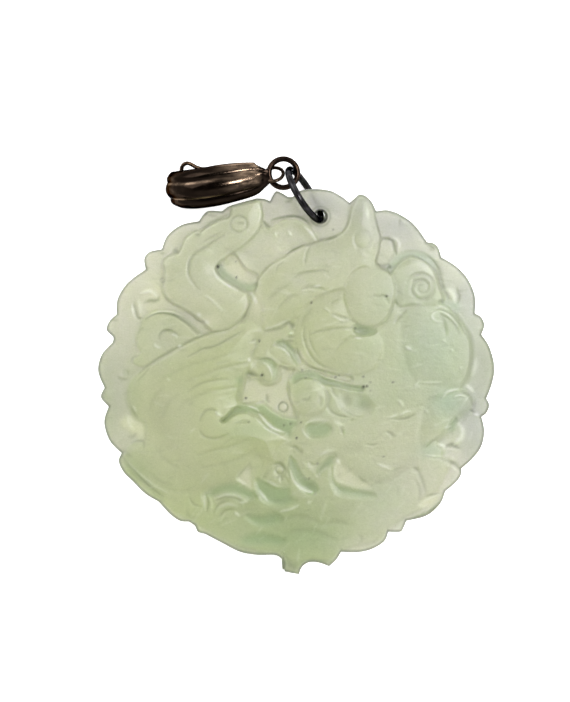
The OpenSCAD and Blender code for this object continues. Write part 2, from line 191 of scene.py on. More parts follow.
# The rim's outline in photo pixels, clockwise from under the bail: each row is one smooth stretch, and
# rows meet in corners
RIM = [
    [(257, 198.5), (264, 199), (270, 201.5)],
    [(270, 201.5), (273, 195.5), (276.5, 191.5), (283, 194), (288, 197), (293, 197)],
    [(293, 197), (300, 191), (315, 189.3), (330, 191), (341, 196.5), (349.5, 203)],
    [(349.5, 203), (354, 199), (359, 195), (366, 196.5), (372, 203), (376, 211.5)],
    [(376, 211.5), (388, 210.5), (402, 216), (415, 226), (427, 242.5)],
    [(427, 242.5), (433, 243.3), (438, 248), (441, 257.5)],
    [(441, 257.5), (455, 266), (467, 278.5), (474.5, 296), (474.5, 313.5)],
    [(474.5, 313.5), (480.5, 317), (484, 325), (481, 334.5)],
    [(481, 334.5), (489, 347), (494, 366), (492, 382), (486, 398.5)],
    [(486, 398.5), (489, 405), (486, 413), (481, 416.5)],
    [(481, 416.5), (484, 431), (481, 446), (473, 457.5), (461, 468.5)],
    [(461, 468.5), (460.5, 475), (455, 482.5), (445, 491)],
    [(445, 491), (439.5, 504), (426, 515.5), (406, 520.5)],
    [(406, 520.5), (403.5, 527), (400, 531.5), (388, 531.5)],
    [(388, 531.5), (384, 541), (371, 549), (356, 552), (341, 551.5)],
    [(341, 551.5), (336, 559.5), (329, 566)],
    [(329, 566), (319, 562.3), (309, 562), (302, 566.5), (299, 574)],
    [(299, 574), (290, 572.3), (282, 570.5)],
    [(282, 570.5), (283.5, 562), (276, 555), (258, 554.7), (240, 551.5), (222, 542.5), (205, 533.5)],
    [(205, 533.5), (198, 531.5), (195, 525.5), (189, 521.3)],
    [(189, 521.3), (180, 520.5), (170, 513.5), (159, 501.5)],
    [(159, 501.5), (145, 493), (133, 481), (124, 472), (119, 461), (122, 453)],
    [(122, 453), (110, 440.5), (104.5, 422), (109, 406.5)],
    [(109, 406.5), (101.5, 398), (102.5, 392), (105, 388)],
    [(105, 388), (98.5, 371), (102, 355), (113, 342.5)],
    [(113, 342.5), (113.5, 337), (107, 330), (110, 321), (117, 314.5)],
    [(117, 314.5), (118, 299), (128, 283), (146, 269.5)],
    [(146, 269.5), (144.5, 259), (150, 252), (162, 249.5)],
    [(162, 249.5), (168, 235.5), (182, 225), (199, 221.5)],
    [(199, 221.5), (204, 214.5), (209, 211), (222, 211.5)],
    [(222, 211.5), (229, 206.5), (240, 203), (257, 198.5)],
]

# Forms of the carving, from the lowest layer to the highest, outlines in photo pixels. Columns: edge
# height above the rim's face, extra height in the middle, width of the shoulder in pixels, softness of
# the edge in pixels, colour of the palette or "" to keep the stone's own, outline
FORMS = {
    "lower field": (0.30, 0.15, 14, 5.0, "", [
        (124, 456), (134, 448), (160, 440), (200, 450), (240, 452), (270, 450), (300, 446), (340, 440),
        (380, 440), (410, 436), (430, 440), (446, 446), (452, 462), (440, 484), (428, 504), (402, 518),
        (390, 528), (378, 540), (345, 548), (328, 560), (296, 568), (280, 552), (240, 546), (206, 528),
        (180, 514), (150, 491), (130, 472)]),
    "middle field": (0.42, 0.15, 14, 5.0, "", [
        (248, 342), (246, 326), (250, 306), (256, 290), (266, 296), (280, 310), (300, 312), (330, 300),
        (370, 290), (400, 306), (430, 312), (450, 340), (458, 370), (460, 390), (456, 410), (440, 432),
        (424, 448), (421, 462), (400, 474), (380, 484), (350, 470), (336, 455), (326, 462), (314, 476),
        (300, 466), (292, 450), (284, 462), (262, 462), (262, 440), (290, 430), (297, 416), (290, 396),
        (290, 380), (300, 370), (288, 368), (276, 368), (262, 374), (250, 372), (244, 360)]),
    "top arch": (0.34, -0.20, 11, 1.8, "", [
        (264, 226), (267, 228.5), (271, 228), (276, 224.5), (282, 221), (290, 219.5), (298, 220.5),
        (305, 224), (311, 230), (317, 238), (318, 246), (304, 256), (284, 266), (262, 282), (250, 274),
        (240, 262), (234, 252), (246, 243), (257, 232)]),
    "right neck": (0.62, 0.42, 17, 2.0, "", [
        (359, 197), (355, 202.5), (351.5, 208), (350, 214), (348.5, 221), (346, 227.5), (342, 233),
        (336, 236.5), (330, 238.5), (324, 240.5), (317, 242), (311, 245), (303, 246.5), (297, 249),
        (291, 252.5), (284, 258), (277, 261.5), (271, 265), (266, 270), (260, 277.5), (256.5, 285),
        (255, 292), (258, 298), (261, 306), (262, 316), (263, 330), (274, 326), (290, 320), (306, 314),
        (330, 304), (352, 296), (372, 284), (380, 270), (375.5, 262), (377.5, 255), (379, 248),
        (380.5, 240), (379, 233), (377, 226), (375, 219), (374, 213), (373, 208), (371, 203), (367, 198)]),
    "left neck": (0.66, 0.40, 17, 2.0, "", [
        (246, 200), (256, 199.5), (260.5, 204), (262, 211), (262.5, 219), (259.5, 229), (253, 237),
        (246, 244), (238, 250), (231, 254), (225, 258.5), (219, 263), (216, 268.5), (219, 275.5),
        (227, 282.5), (236, 288.5), (246, 293), (248.5, 298), (249, 304), (246, 312), (240, 320),
        (232, 326.5), (224, 330), (215, 331.5), (209, 328), (204, 322.5), (196, 317), (188, 311),
        (180, 306.5), (172, 302.5), (166.5, 297), (163, 289.5), (164, 280), (164.5, 271), (163.5, 264),
        (166, 258.5), (173, 255), (179, 253), (182, 247), (185, 240.5), (190, 235), (196, 231.5),
        (202, 232), (206, 228.5), (213, 224.5), (221, 220.5), (229, 218), (231.5, 212), (233, 205)]),
    "neck wall": (-0.30, 0.0, 4, 1.6, "deep", [
        (216.5, 268), (221, 264.5), (226, 269), (233, 275), (240, 280), (247, 283.5), (253, 282.5),
        (257.5, 284), (256, 289), (250, 291), (245, 290.5), (237, 286.5), (228, 281.5), (220, 275.5)]),
    "upper hollow": (-0.36, 0.0, 4, 1.5, "clear", [
        (226, 258), (231, 254.5), (236, 255.5), (240, 261), (244, 266.5), (250, 271), (258, 275),
        (257, 281), (251, 283), (244, 282.5), (238, 279), (231, 274), (225, 269), (223, 263)]),
    "left cloud": (0.36, 0.10, 12, 3.2, "", [
        (143, 319), (148, 314), (154, 311), (161, 309.5), (170, 310), (178, 313), (184, 317), (190, 322),
        (196, 328), (202, 334.5), (195, 339), (188, 343), (178, 349), (167, 356), (157, 361), (147, 366),
        (140, 366), (133, 362), (137, 356), (141, 352), (138, 345), (137, 336), (140, 328)]),
    "tail fan": (0.52, 0.80, 46, 7.0, "", [
        (264, 331), (258, 338), (255.5, 347), (251.5, 357), (250, 366), (245.5, 375), (241.5, 383),
        (240, 392), (239, 400), (248, 410), (270, 424), (288, 438), (282, 446), (276, 461), (266, 460),
        (256, 456), (249, 464), (243, 471), (237, 478), (226, 481.5), (216, 484.5), (207, 488), (195, 491),
        (183, 491), (172, 490), (162, 484.5), (152, 478), (142, 469), (134, 460), (129, 450), (134, 444),
        (144, 441), (145, 432), (144, 423), (137, 418), (132, 410), (129, 402), (128.5, 392), (132, 382),
        (139, 374), (147, 366.5), (157, 359.5), (167, 354), (178, 347.5), (188, 342.5), (197, 338),
        (206, 334.5), (214, 332), (226, 330), (240, 322), (252, 322)]),
    "petal": (0.42, 0.08, 8, 2.8, "", [
        (272, 346), (279, 346), (286, 350.5), (291, 356.5), (297, 366), (291, 368), (285, 366.5),
        (279, 362.5), (273, 358), (268, 352)]),
    "curl": (0.40, 0.06, 7, 2.6, "", [
        (256, 359), (262, 357.5), (269, 358.5), (274, 362), (277, 368.5), (276.5, 376), (273.5, 382),
        (267, 384), (262, 380), (258, 374), (255, 366)]),
    "middle left hollow": (-0.34, 0.0, 4, 1.5, "clear", [
        (247, 377), (251, 379), (258, 379), (263, 384.5), (270, 385), (278, 382), (281, 375), (280, 366),
        (287, 368), (294, 369), (291, 376), (288.5, 384), (288.5, 392), (291, 402), (294, 410),
        (297, 417.5), (288, 417), (280, 414), (272, 409.5), (265, 403), (260, 402.5), (252, 403),
        (243, 403), (242.5, 396), (244, 387)]),
    "scroll gap": (0.24, 0.0, 4, 3.4, "deep", [
        (221, 420.5), (226, 416.5), (231, 411.5), (236, 407), (243, 404.5), (250, 404), (257, 406),
        (262, 403), (266, 405), (271, 409), (278, 413.5), (287, 417), (297, 418.5), (296, 425),
        (291.5, 430), (290, 438), (284, 432), (275, 427), (268, 419), (262, 413.5), (253, 412), (245, 412),
        (237, 413.5), (230, 417.5), (225, 422)]),
    "right leaf": (0.54, 0.20, 30, 8.0, "", [
        (408, 306), (420, 303.5), (432, 303), (438, 304.5), (447, 308), (455, 315), (462, 324), (468, 334),
        (471, 345), (471.5, 356), (470.5, 366), (467, 377), (461, 385), (450, 388), (437, 386), (425, 385),
        (415, 384), (409, 373), (404, 362), (401, 350), (400, 338), (400, 324), (403, 313)]),
    "spiral cloud": (0.60, 0.14, 12, 3.2, "", [
        (391, 273), (396, 266), (402, 260.5), (410, 257.5), (418, 259), (427, 264), (433.5, 271.5),
        (437, 281), (440, 291), (443, 300), (437, 306), (424, 306), (410, 305), (400, 307), (394, 300),
        (390, 288), (388, 279)]),
    "cloud gap": (-0.10, 0.0, 3, 2.6, "teal", [
        (386, 269), (389, 265), (394, 259), (400, 254), (408, 251.5), (418, 252), (427, 255.5), (434, 262),
        (437, 270), (433, 269), (426.5, 263), (418, 258.5), (409.5, 257), (402, 260), (396, 265.5),
        (390, 272)]),
    "leaf gap": (0.05, 0.0, 3, 4.0, "teal", [
        (440, 301), (447, 302.5), (458, 302.5), (460, 307), (456, 312), (451, 308), (446, 305.5),
        (440, 304)]),
    "boss gap": (0.0, 0.0, 3, 1.6, "deep", [
        (290, 378), (297, 373), (304, 370.5), (311, 369.5), (317, 371.5), (322, 376), (328, 379.5),
        (336, 380.5), (344, 383), (352, 386), (362, 387), (362, 391), (350, 390.5), (340, 387),
        (330, 385.5), (322, 384), (316, 380.5), (309, 379), (302, 379.5), (295, 383.5)]),
    "low boss": (0.66, 0.22, 13, 1.7, "", [
        (291, 388), (296, 382), (303, 378.5), (311, 378.5), (319, 382), (325, 388), (328, 396), (327, 405),
        (321, 412), (311, 415), (301, 413), (294, 406), (290, 397)]),
    "stem hollow": (0.40, -0.05, 6, 5.0, "", [
        (337, 393), (343, 389), (352, 390), (360, 393), (368, 398), (373, 405), (371, 412), (364, 416),
        (354, 415), (346, 411), (340, 404)]),
    "lotus leaf": (0.66, 0.26, 24, 3.4, "", [
        (346, 290), (335, 290.5), (326, 293.5), (318, 297), (311, 302), (304, 308), (299, 315), (296, 323),
        (294.5, 332), (295, 343), (299, 353), (305, 361.5), (313, 367), (323, 370.5), (336, 373),
        (350, 375), (362, 374), (374, 368), (381, 356), (382, 343), (376, 333), (366, 327), (356, 318),
        (350, 304)]),
    "leaf pit": (0.50, 0.0, 4, 2.2, "deep", [
        (354, 325), (362, 326), (372, 329), (377, 332), (369, 335), (361, 336), (354, 332)]),
    "lotus bud": (0.84, 0.16, 20, 3.2, "", [
        (344, 300), (343.5, 291), (345.5, 283), (349.5, 276.5), (355, 271), (362, 267.5), (371, 266.8),
        (380, 268.5), (388, 272.5), (393, 280), (395, 290), (394, 300), (391, 310), (386, 318), (378, 325),
        (369, 327), (360, 325), (352, 319), (347, 310)]),
    "under leaf hollow": (-0.12, 0.0, 3, 1.5, "clear", [
        (297, 349), (302, 359.5), (311, 366.5), (323, 370.5), (336, 373.5), (350, 376), (352, 381),
        (342, 381), (332, 377.5), (322, 374), (315, 370.5), (308, 369), (301, 370), (296, 362)]),
    "neck hollow": (-0.10, 0.0, 3, 2.8, "", [
        (380, 241), (386, 240), (392, 243), (394.5, 251), (391, 258), (386, 263), (378, 264), (376, 261),
        (378.5, 253)]),
    "crescent": (0.02, 0.0, 3, 1.4, "deep", [
        (275, 343.5), (281, 340.5), (287, 342.5), (292, 347.5), (297, 354.5), (300, 362), (298.5, 367),
        (293.5, 359.5), (288, 352), (282, 347)]),
    "curl gap": (0.20, 0.0, 3, 1.3, "deep", [
        (258, 360), (266, 358), (272.5, 360.5), (276.5, 367), (276.5, 375), (273.5, 382), (272.5, 374),
        (271, 367.5), (267, 363), (261, 361.5)]),
    "lower right cloud": (0.46, 0.12, 16, 9.0, "", [
        (430, 399), (440, 397), (447, 391), (458, 388.5), (467, 391.5), (472, 399), (471, 406), (464, 412),
        (457, 417), (453, 425), (447, 431), (440, 437), (432, 443), (425, 449), (418, 440), (420, 420),
        (424, 405)]),
    "right gap": (0.10, 0.0, 3, 3.4, "deep", [
        (455, 417), (456.5, 424), (454, 431), (448, 431), (449.5, 424)]),
    "right hollow": (0.02, 0.0, 3, 5.0, "", [
        (456, 423), (460, 422), (464, 429), (464.5, 438), (460, 444), (457, 450), (460, 459), (452, 458),
        (446, 458), (442, 455), (443, 449), (437, 444), (440, 441.5), (446, 440.5), (449.5, 436.5),
        (452, 431.5), (455, 429)]),
    "low crescent": (0.10, 0.0, 3, 3.2, "deep", [
        (290, 456), (294.5, 460), (298, 467), (302, 474), (307, 479), (313, 481), (317.5, 486), (318, 492),
        (311, 494), (304, 491), (298, 485), (294, 478), (291, 470), (289, 463)]),
    "crest gap": (0.12, 0.0, 3, 4.0, "deep", [
        (336, 455), (333.5, 464), (328, 466), (323, 469.5), (318, 475), (318, 469), (323, 462.5),
        (329, 457)]),
    "low gap": (0.24, 0.0, 3, 7.0, "deep", [
        (331, 466), (333, 477), (336, 482.5), (343, 485), (352, 487.5), (361, 489), (368, 492),
        (374, 495.5), (362, 496.5), (348, 495), (339, 493), (334, 487), (331, 479)]),
    "wave hollow": (0.30, 0.0, 3, 6.0, "clear", [
        (335.5, 456.5), (339, 459.5), (342, 463.5), (347, 467.5), (353, 471.5), (357, 475.5), (359.5, 479),
        (365, 481), (371, 485.5), (366, 488), (357, 487.5), (348, 485.5), (340, 482.5), (335.5, 479.5),
        (333.5, 471), (334, 463)]),
    "wave gap": (0.26, 0.0, 3, 6.0, "deep", [
        (206, 494.5), (213, 488.5), (222, 485), (232, 483), (241, 483.5), (248, 487), (254, 491.5),
        (256.5, 497.5), (249, 498.5), (242, 495), (233, 492.5), (222, 492), (213, 495)]),
    "pool": (0.24, 0.0, 3, 6.0, "deep", [
        (255, 479), (262, 479.5), (269, 483.5), (277, 487), (287, 486.5), (289.5, 491), (290.5, 497),
        (296, 500), (290, 503), (280, 505), (270, 503), (262, 498.5), (257, 490)]),
    "left wave hollow": (0.28, 0.0, 3, 5.0, "clear", [
        (249.5, 464), (244, 470.5), (238, 477.5), (243, 483), (250, 488), (254, 488), (252.5, 478),
        (251.5, 470)]),
    "small wave hollow": (0.25, 0.05, 5, 3.4, "", [
        (267, 467), (273, 462.5), (280, 463), (285, 468), (284.5, 474), (287.5, 478), (290, 484),
        (286, 487), (278, 486), (270, 481.5), (262, 478), (264, 471)]),
    "pale column": (0.46, 0.04, 5, 4.0, "", [
        (279, 446), (286, 443), (291, 447), (290, 455), (286, 460), (278, 459), (276, 453)]),
    "oval": (0.34, 0.0, 4, 4.0, "deep", [
        (305, 430), (308, 424), (315, 422.5), (324, 422.5), (330, 426), (331, 431), (325, 436), (314, 437),
        (308, 435)]),
    "low pool": (0.32, 0.0, 4, 7.0, "deep", [
        (246, 515), (254, 516), (264, 516), (274, 513), (282, 517), (279, 522), (266, 525), (254, 523)]),
    "lowest pool": (0.30, 0.0, 4, 7.0, "deep", [
        (241, 540), (248, 535), (260, 533), (272, 535), (285, 539), (278, 543.5), (262, 543), (246, 544)]),
    "left hollow": (0.12, 0.0, 3, 5.0, "clear", [
        (121, 421), (127, 416.5), (132, 417), (136.5, 421.5), (144, 423.5), (145, 431), (144, 439),
        (139, 439), (136.5, 434), (131, 432), (127, 429), (122, 427)]),
    "facet": (0.05, 0.0, 3, 4.0, "clear", [
        (419, 504), (424, 498), (430, 495.5), (439, 494.5), (434, 501), (427, 506)]),
}

# Lines cut into the carving, with painted shade in them, in photo pixels. Columns: depth, half width in
# pixels, darkness of the painted shade, points
CUTS = [
    (0.16, 1.5, 0.42, [(224, 236), (214, 242), (206, 248), (197, 253), (191, 260), (189, 268), (190, 277),
        (195, 285), (199, 290)]),
    (0.08, 1.2, 0.22, [(222, 233), (212, 238), (203, 243)]),
    (0.12, 1.4, 0.40, [(199, 231), (206, 226), (214, 221.5), (222, 217.5), (229, 215)]),
    (0.16, 1.2, 0.90, [(271, 220.5), (279, 218.5), (288, 217), (297, 217), (305, 220.5), (311, 226)]),
    (0.18, 1.6, 0.50, [(263, 222), (268, 227), (272, 227.5)]),
    (0.14, 1.3, 0.65, [(304, 245), (299, 247.5), (293, 250.5), (287, 254)]),
    (0.12, 1.5, 0.35, [(311, 246), (307.5, 251), (305.5, 257), (304.5, 264)]),
    (0.10, 1.2, 0.28, [(283, 263), (278, 267), (275.5, 273)]),
    (0.12, 1.0, 0.45, [(292, 279.5), (297, 276), (304, 273), (313, 272), (322, 271), (328, 272)]),
    (0.12, 1.2, 0.40, [(301, 289.5), (308, 287), (319, 288), (326, 291.5)]),
    (0.10, 1.6, 0.25, [(277, 310), (283, 303), (290, 297), (298, 295)]),
    (0.07, 2.2, 0.20, [(268, 300), (276, 292), (286, 286)]),
    (0.20, 1.3, 0.75, [(325, 240.5), (331, 238.8), (337, 236.5)]),
    (0.12, 1.6, 0.45, [(357, 202), (362, 200), (368, 201)]),
    (0.22, 1.6, 0.60, [(382, 239.5), (388, 239.5), (392, 241.5), (394, 247), (395.5, 255)]),
    (0.14, 1.4, 0.40, [(376, 264.5), (383, 265.5), (389, 264)]),
    (0.08, 2.4, 0.16, [(393, 272), (400, 264.5), (409, 261), (418, 262.5), (427, 268), (432, 276)]),
    (0.16, 1.5, 0.50, [(428, 257), (435, 264), (439, 273), (441, 284), (445, 293), (448, 299)]),
    (0.14, 1.1, 0.40, [(437, 308.5), (446, 311.5), (454, 318), (460.5, 327), (464, 334)]),
    (0.10, 1.1, 0.30, [(439, 315), (447, 319), (454, 326), (458, 334)]),
    (0.10, 2.2, 0.22, [(441, 315), (443, 325), (445, 334)]),
    (0.10, 1.1, 0.36, [(331, 314), (340, 317), (349, 320), (357, 323.5)]),
    (0.11, 1.1, 0.38, [(310, 335.5), (318, 331.5), (328, 330), (340, 328.3), (352, 328.3)]),
    (0.08, 1.2, 0.24, [(333, 353), (339, 346), (345, 340.5), (352, 336.5), (362, 336.3)]),
    (0.10, 1.3, 0.24, [(304, 327), (303, 335), (305, 344), (309, 353), (315, 361), (324, 367), (336, 371)]),
    (0.07, 1.1, 0.22, [(309, 331), (309.5, 340), (313, 349), (319, 357)]),
    (0.08, 1.1, 0.25, [(330, 304), (335, 301.3), (341, 300)]),
    (0.08, 2.4, 0.22, [(301, 326), (304, 318), (311, 309)]),
    (0.08, 1.2, 0.16, [(392, 303), (391, 311), (387, 319), (381, 325), (374, 330)]),
    (0.13, 1.2, 0.38, [(405, 311), (400, 316.5), (394.5, 323)]),
    (0.08, 1.2, 0.30, [(373, 296), (378, 297), (383, 296), (386, 300), (388.5, 304)]),
    (0.14, 1.1, 1.00, [(146, 319.5), (152, 315.5), (158, 313.5), (166, 313.3), (174, 315), (182, 319),
        (188, 323.5), (194, 329.5), (198, 335)]),
    (0.14, 1.2, 0.60, [(159.5, 339), (160, 334.5), (164, 331), (170, 330.5), (176, 333), (179.5, 337)]),
    (0.12, 1.2, 0.35, [(138, 335), (140, 331), (144, 327.5)]),
    (0.12, 1.3, 0.38, [(131, 361.5), (134, 357.5), (140, 355.3)]),
    (0.18, 1.8, 0.60, [(145, 302.5), (150, 300.8), (155, 301.3), (158.5, 300), (158.8, 297)]),
    (0.18, 1.7, 0.50, [(134.5, 303), (135.5, 311), (138, 317.5), (143, 319)]),
    (0.16, 1.4, 0.40, [(194, 314), (194.5, 318), (199, 321), (205, 322.5)]),
    (0.12, 1.5, 0.40, [(118, 377), (122, 379.5), (128, 379)]),
    (0.14, 1.4, 0.50, [(128, 370), (128.3, 375)]),
    (0.16, 1.5, 0.42, [(139, 374), (147, 366.5), (157, 359.5), (167, 354), (178, 347.5), (188, 342.5),
        (197, 338), (206, 334.5), (214, 332), (226, 330)]),
    (0.12, 1.4, 0.48, [(243, 331), (236, 335), (228, 339.5), (220, 344), (211, 347.5), (203, 349),
        (196, 353), (188, 357)]),
    (0.10, 1.2, 0.40, [(150, 368), (144, 375), (138, 381)]),
    (0.06, 2.2, 0.16, [(250, 362), (240, 364.5), (228, 367), (214, 371), (200, 376), (186, 382)]),
    (0.09, 1.4, 0.36, [(227, 379.5), (216, 380.3), (206, 382), (197, 386), (188, 392)]),
    (0.06, 2.0, 0.16, [(238, 387), (226, 388.5), (212, 391), (198, 396), (186, 402), (178, 410)]),
    (0.05, 2.0, 0.14, [(236, 352), (222, 357), (206, 361), (190, 366), (174, 373), (160, 382)]),
    (0.05, 2.2, 0.14, [(164, 388), (154, 398), (150, 410)]),
    (0.05, 2.2, 0.12, [(178, 394), (168, 404), (163, 416)]),
    (0.06, 2.0, 0.14, [(246, 440), (232, 446), (214, 450), (198, 455)]),
    (0.06, 2.0, 0.14, [(256, 448), (240, 458), (220, 464), (200, 468)]),
    (0.06, 2.2, 0.12, [(156, 446), (164, 458), (178, 468)]),
    (0.10, 1.4, 0.40, [(131, 405), (134, 411), (137, 416)]),
    (0.12, 1.5, 0.42, [(131, 443), (137, 441), (144, 441), (144.5, 447)]),
    (0.10, 1.8, 0.30, [(128, 437), (133, 436.5), (136, 433)]),
    (0.12, 2.4, 0.42, [(124, 457), (131, 466), (141, 477), (152, 487), (163, 496)]),
    (0.08, 1.6, 0.20, [(150, 472), (160, 480), (171, 485)]),
    (0.14, 1.6, 0.55, [(265, 331), (272, 330), (280, 328), (286, 325)]),
    (0.18, 2.0, 0.55, [(283, 325), (289, 323), (292, 327)]),
    (0.12, 1.2, 0.42, [(286, 337), (294, 337)]),
    (0.12, 1.2, 0.42, [(286, 341), (294, 342)]),
    (0.10, 1.2, 0.34, [(251, 342), (255, 340), (258, 341)]),
    (0.14, 1.2, 0.34, [(257, 342), (254, 350), (251.5, 357)]),
    (0.14, 1.4, 0.40, [(261.5, 372), (262.5, 378), (267, 382), (272, 380.5)]),
    (0.20, 2.4, 0.60, [(246, 374.5), (251, 373.5), (256, 375.5)]),
    (0.14, 1.8, 0.50, [(266.5, 395), (267, 400), (269, 402)]),
    (0.12, 1.4, 0.40, [(200, 421), (202, 415.5), (206, 411), (212, 409.5), (217, 411.5)]),
    (0.12, 1.3, 0.34, [(200, 430), (204, 435.5), (212, 438), (220, 437), (228, 433)]),
    (0.12, 1.4, 0.40, [(258, 417), (264, 424), (272, 430), (280, 434)]),
    (0.08, 1.5, 0.30, [(236, 423), (242, 421), (249, 421.5)]),
    (0.10, 1.3, 0.36, [(248, 465), (242, 471), (237, 477)]),
    (0.14, 1.8, 0.50, [(274, 464), (280, 463), (285, 468), (286, 473)]),
    (0.12, 1.6, 0.40, [(276, 477), (281, 476), (281, 481)]),
    (0.12, 1.8, 0.45, [(291, 446), (295, 447), (299, 450)]),
    (0.12, 1.5, 0.40, [(289, 463), (288, 470), (290, 478)]),
    (0.10, 1.2, 0.30, [(309, 461), (312, 464), (316, 464)]),
    (0.12, 1.2, 0.45, [(302, 400), (308, 399), (309.5, 396)]),
    (0.10, 1.3, 0.35, [(319, 396), (321, 401), (319.5, 407)]),
    (0.12, 1.4, 0.36, [(325, 387), (327.5, 394), (328, 402), (326, 408)]),
    (0.12, 1.3, 0.36, [(331, 385), (333, 392), (337, 398), (340, 405), (346, 411), (354, 415.5),
        (362, 417)]),
    (0.10, 1.3, 0.36, [(327.5, 401), (328.5, 408), (333, 413), (342, 416), (350, 417)]),
    (0.10, 1.4, 0.34, [(340, 427), (342, 431), (343, 434)]),
    (0.10, 1.4, 0.34, [(349, 420), (354, 419)]),
    (0.08, 1.3, 0.26, [(366, 444), (372, 445), (375, 444)]),
    (0.12, 1.3, 0.45, [(391, 418.5), (402, 419), (409, 417), (413, 414.5)]),
    (0.10, 1.4, 0.45, [(386, 431.5), (390, 433.5), (392.5, 437)]),
    (0.10, 1.5, 0.36, [(358, 476), (361, 479), (367, 482)]),
    (0.08, 1.6, 0.24, [(425, 448), (430, 443), (436, 438)]),
    (0.08, 1.2, 0.22, [(424, 455.5), (432, 457), (441, 457.5)]),
    (0.16, 1.8, 0.50, [(441, 459), (449, 461), (456, 465), (460.5, 471)]),
    (0.10, 1.6, 0.30, [(413, 467), (417, 471), (420.5, 478), (423, 486), (424.5, 494)]),
    (0.08, 1.5, 0.26, [(414, 479), (418, 486), (419, 494), (418, 502)]),
    (0.10, 1.3, 0.34, [(424, 496), (431, 494), (440, 493.5)]),
    (0.18, 2.4, 0.55, [(447, 446.5), (452, 445), (457, 447.5)]),
    (0.12, 1.4, 0.40, [(460, 391), (466, 393), (470.5, 398), (471, 404)]),
    (0.12, 1.4, 0.50, [(469, 409.5), (473, 412)]),
    (0.10, 1.4, 0.36, [(456, 288), (458, 296), (457, 303)]),
    (0.10, 1.5, 0.40, [(112, 320.5), (118, 320.5)]),
    (0.10, 1.3, 0.45, [(160, 254), (165, 254)]),
    (0.08, 1.3, 0.40, [(146, 268.5), (150, 268.5)]),
    (0.08, 1.5, 0.30, [(401, 217), (399.5, 221), (398, 226)]),
    (0.06, 1.3, 0.30, [(413, 230), (417, 231)]),
    (0.10, 1.5, 0.45, [(285, 202), (290, 201.5), (293, 198)]),
    (0.08, 1.4, 0.34, [(205, 215), (211, 216), (217, 217.5)]),
    (0.10, 2.2, 0.40, [(122, 449), (127, 453), (132, 456)]),
    (0.10, 1.8, 0.36, [(217, 500), (226, 497), (236, 498), (244, 503)]),
    (0.10, 1.6, 0.32, [(206, 494), (208, 502), (207, 511)]),
    (0.10, 1.6, 0.30, [(213, 512), (219, 504), (228, 500)]),
    (0.10, 1.5, 0.30, [(219, 517), (225, 510), (233, 509)]),
    (0.08, 1.6, 0.26, [(190, 498), (194, 504), (201, 506)]),
    (0.08, 1.8, 0.26, [(187, 510), (190, 516), (198, 517)]),
    (0.05, 3.0, 0.20, [(280, 520), (292, 516), (306, 517), (318, 522)]),
    (0.05, 3.0, 0.14, [(320, 525), (336, 522), (352, 525)]),
    (0.05, 3.4, 0.20, [(284, 533), (304, 530), (320, 533), (336, 540)]),
    (0.06, 1.8, 0.16, [(357, 534), (361, 538), (358, 543)]),
    (0.05, 1.2, 0.16, [(447, 308), (458, 318), (466, 330), (471, 345), (471.5, 358), (468, 374),
        (462, 384)]),
    (0.16, 2.6, 0.50, [(172, 313), (182, 318), (190, 324), (197, 331), (204, 335)]),
    (0.06, 2.6, 0.30, [(114, 440), (122, 455), (134, 470), (148, 484), (164, 500)]),
    (0.06, 2.0, 0.30, [(228, 544), (244, 549), (262, 552), (276, 556)]),
    (0.06, 2.0, 0.30, [(300, 563), (310, 559), (322, 560), (331, 561)]),
    # Painted shadow along the lower right rim
    (0.10, 2.2, 0.90, [(445, 492), (439, 503), (427, 512.5), (409, 518.5)]),
]
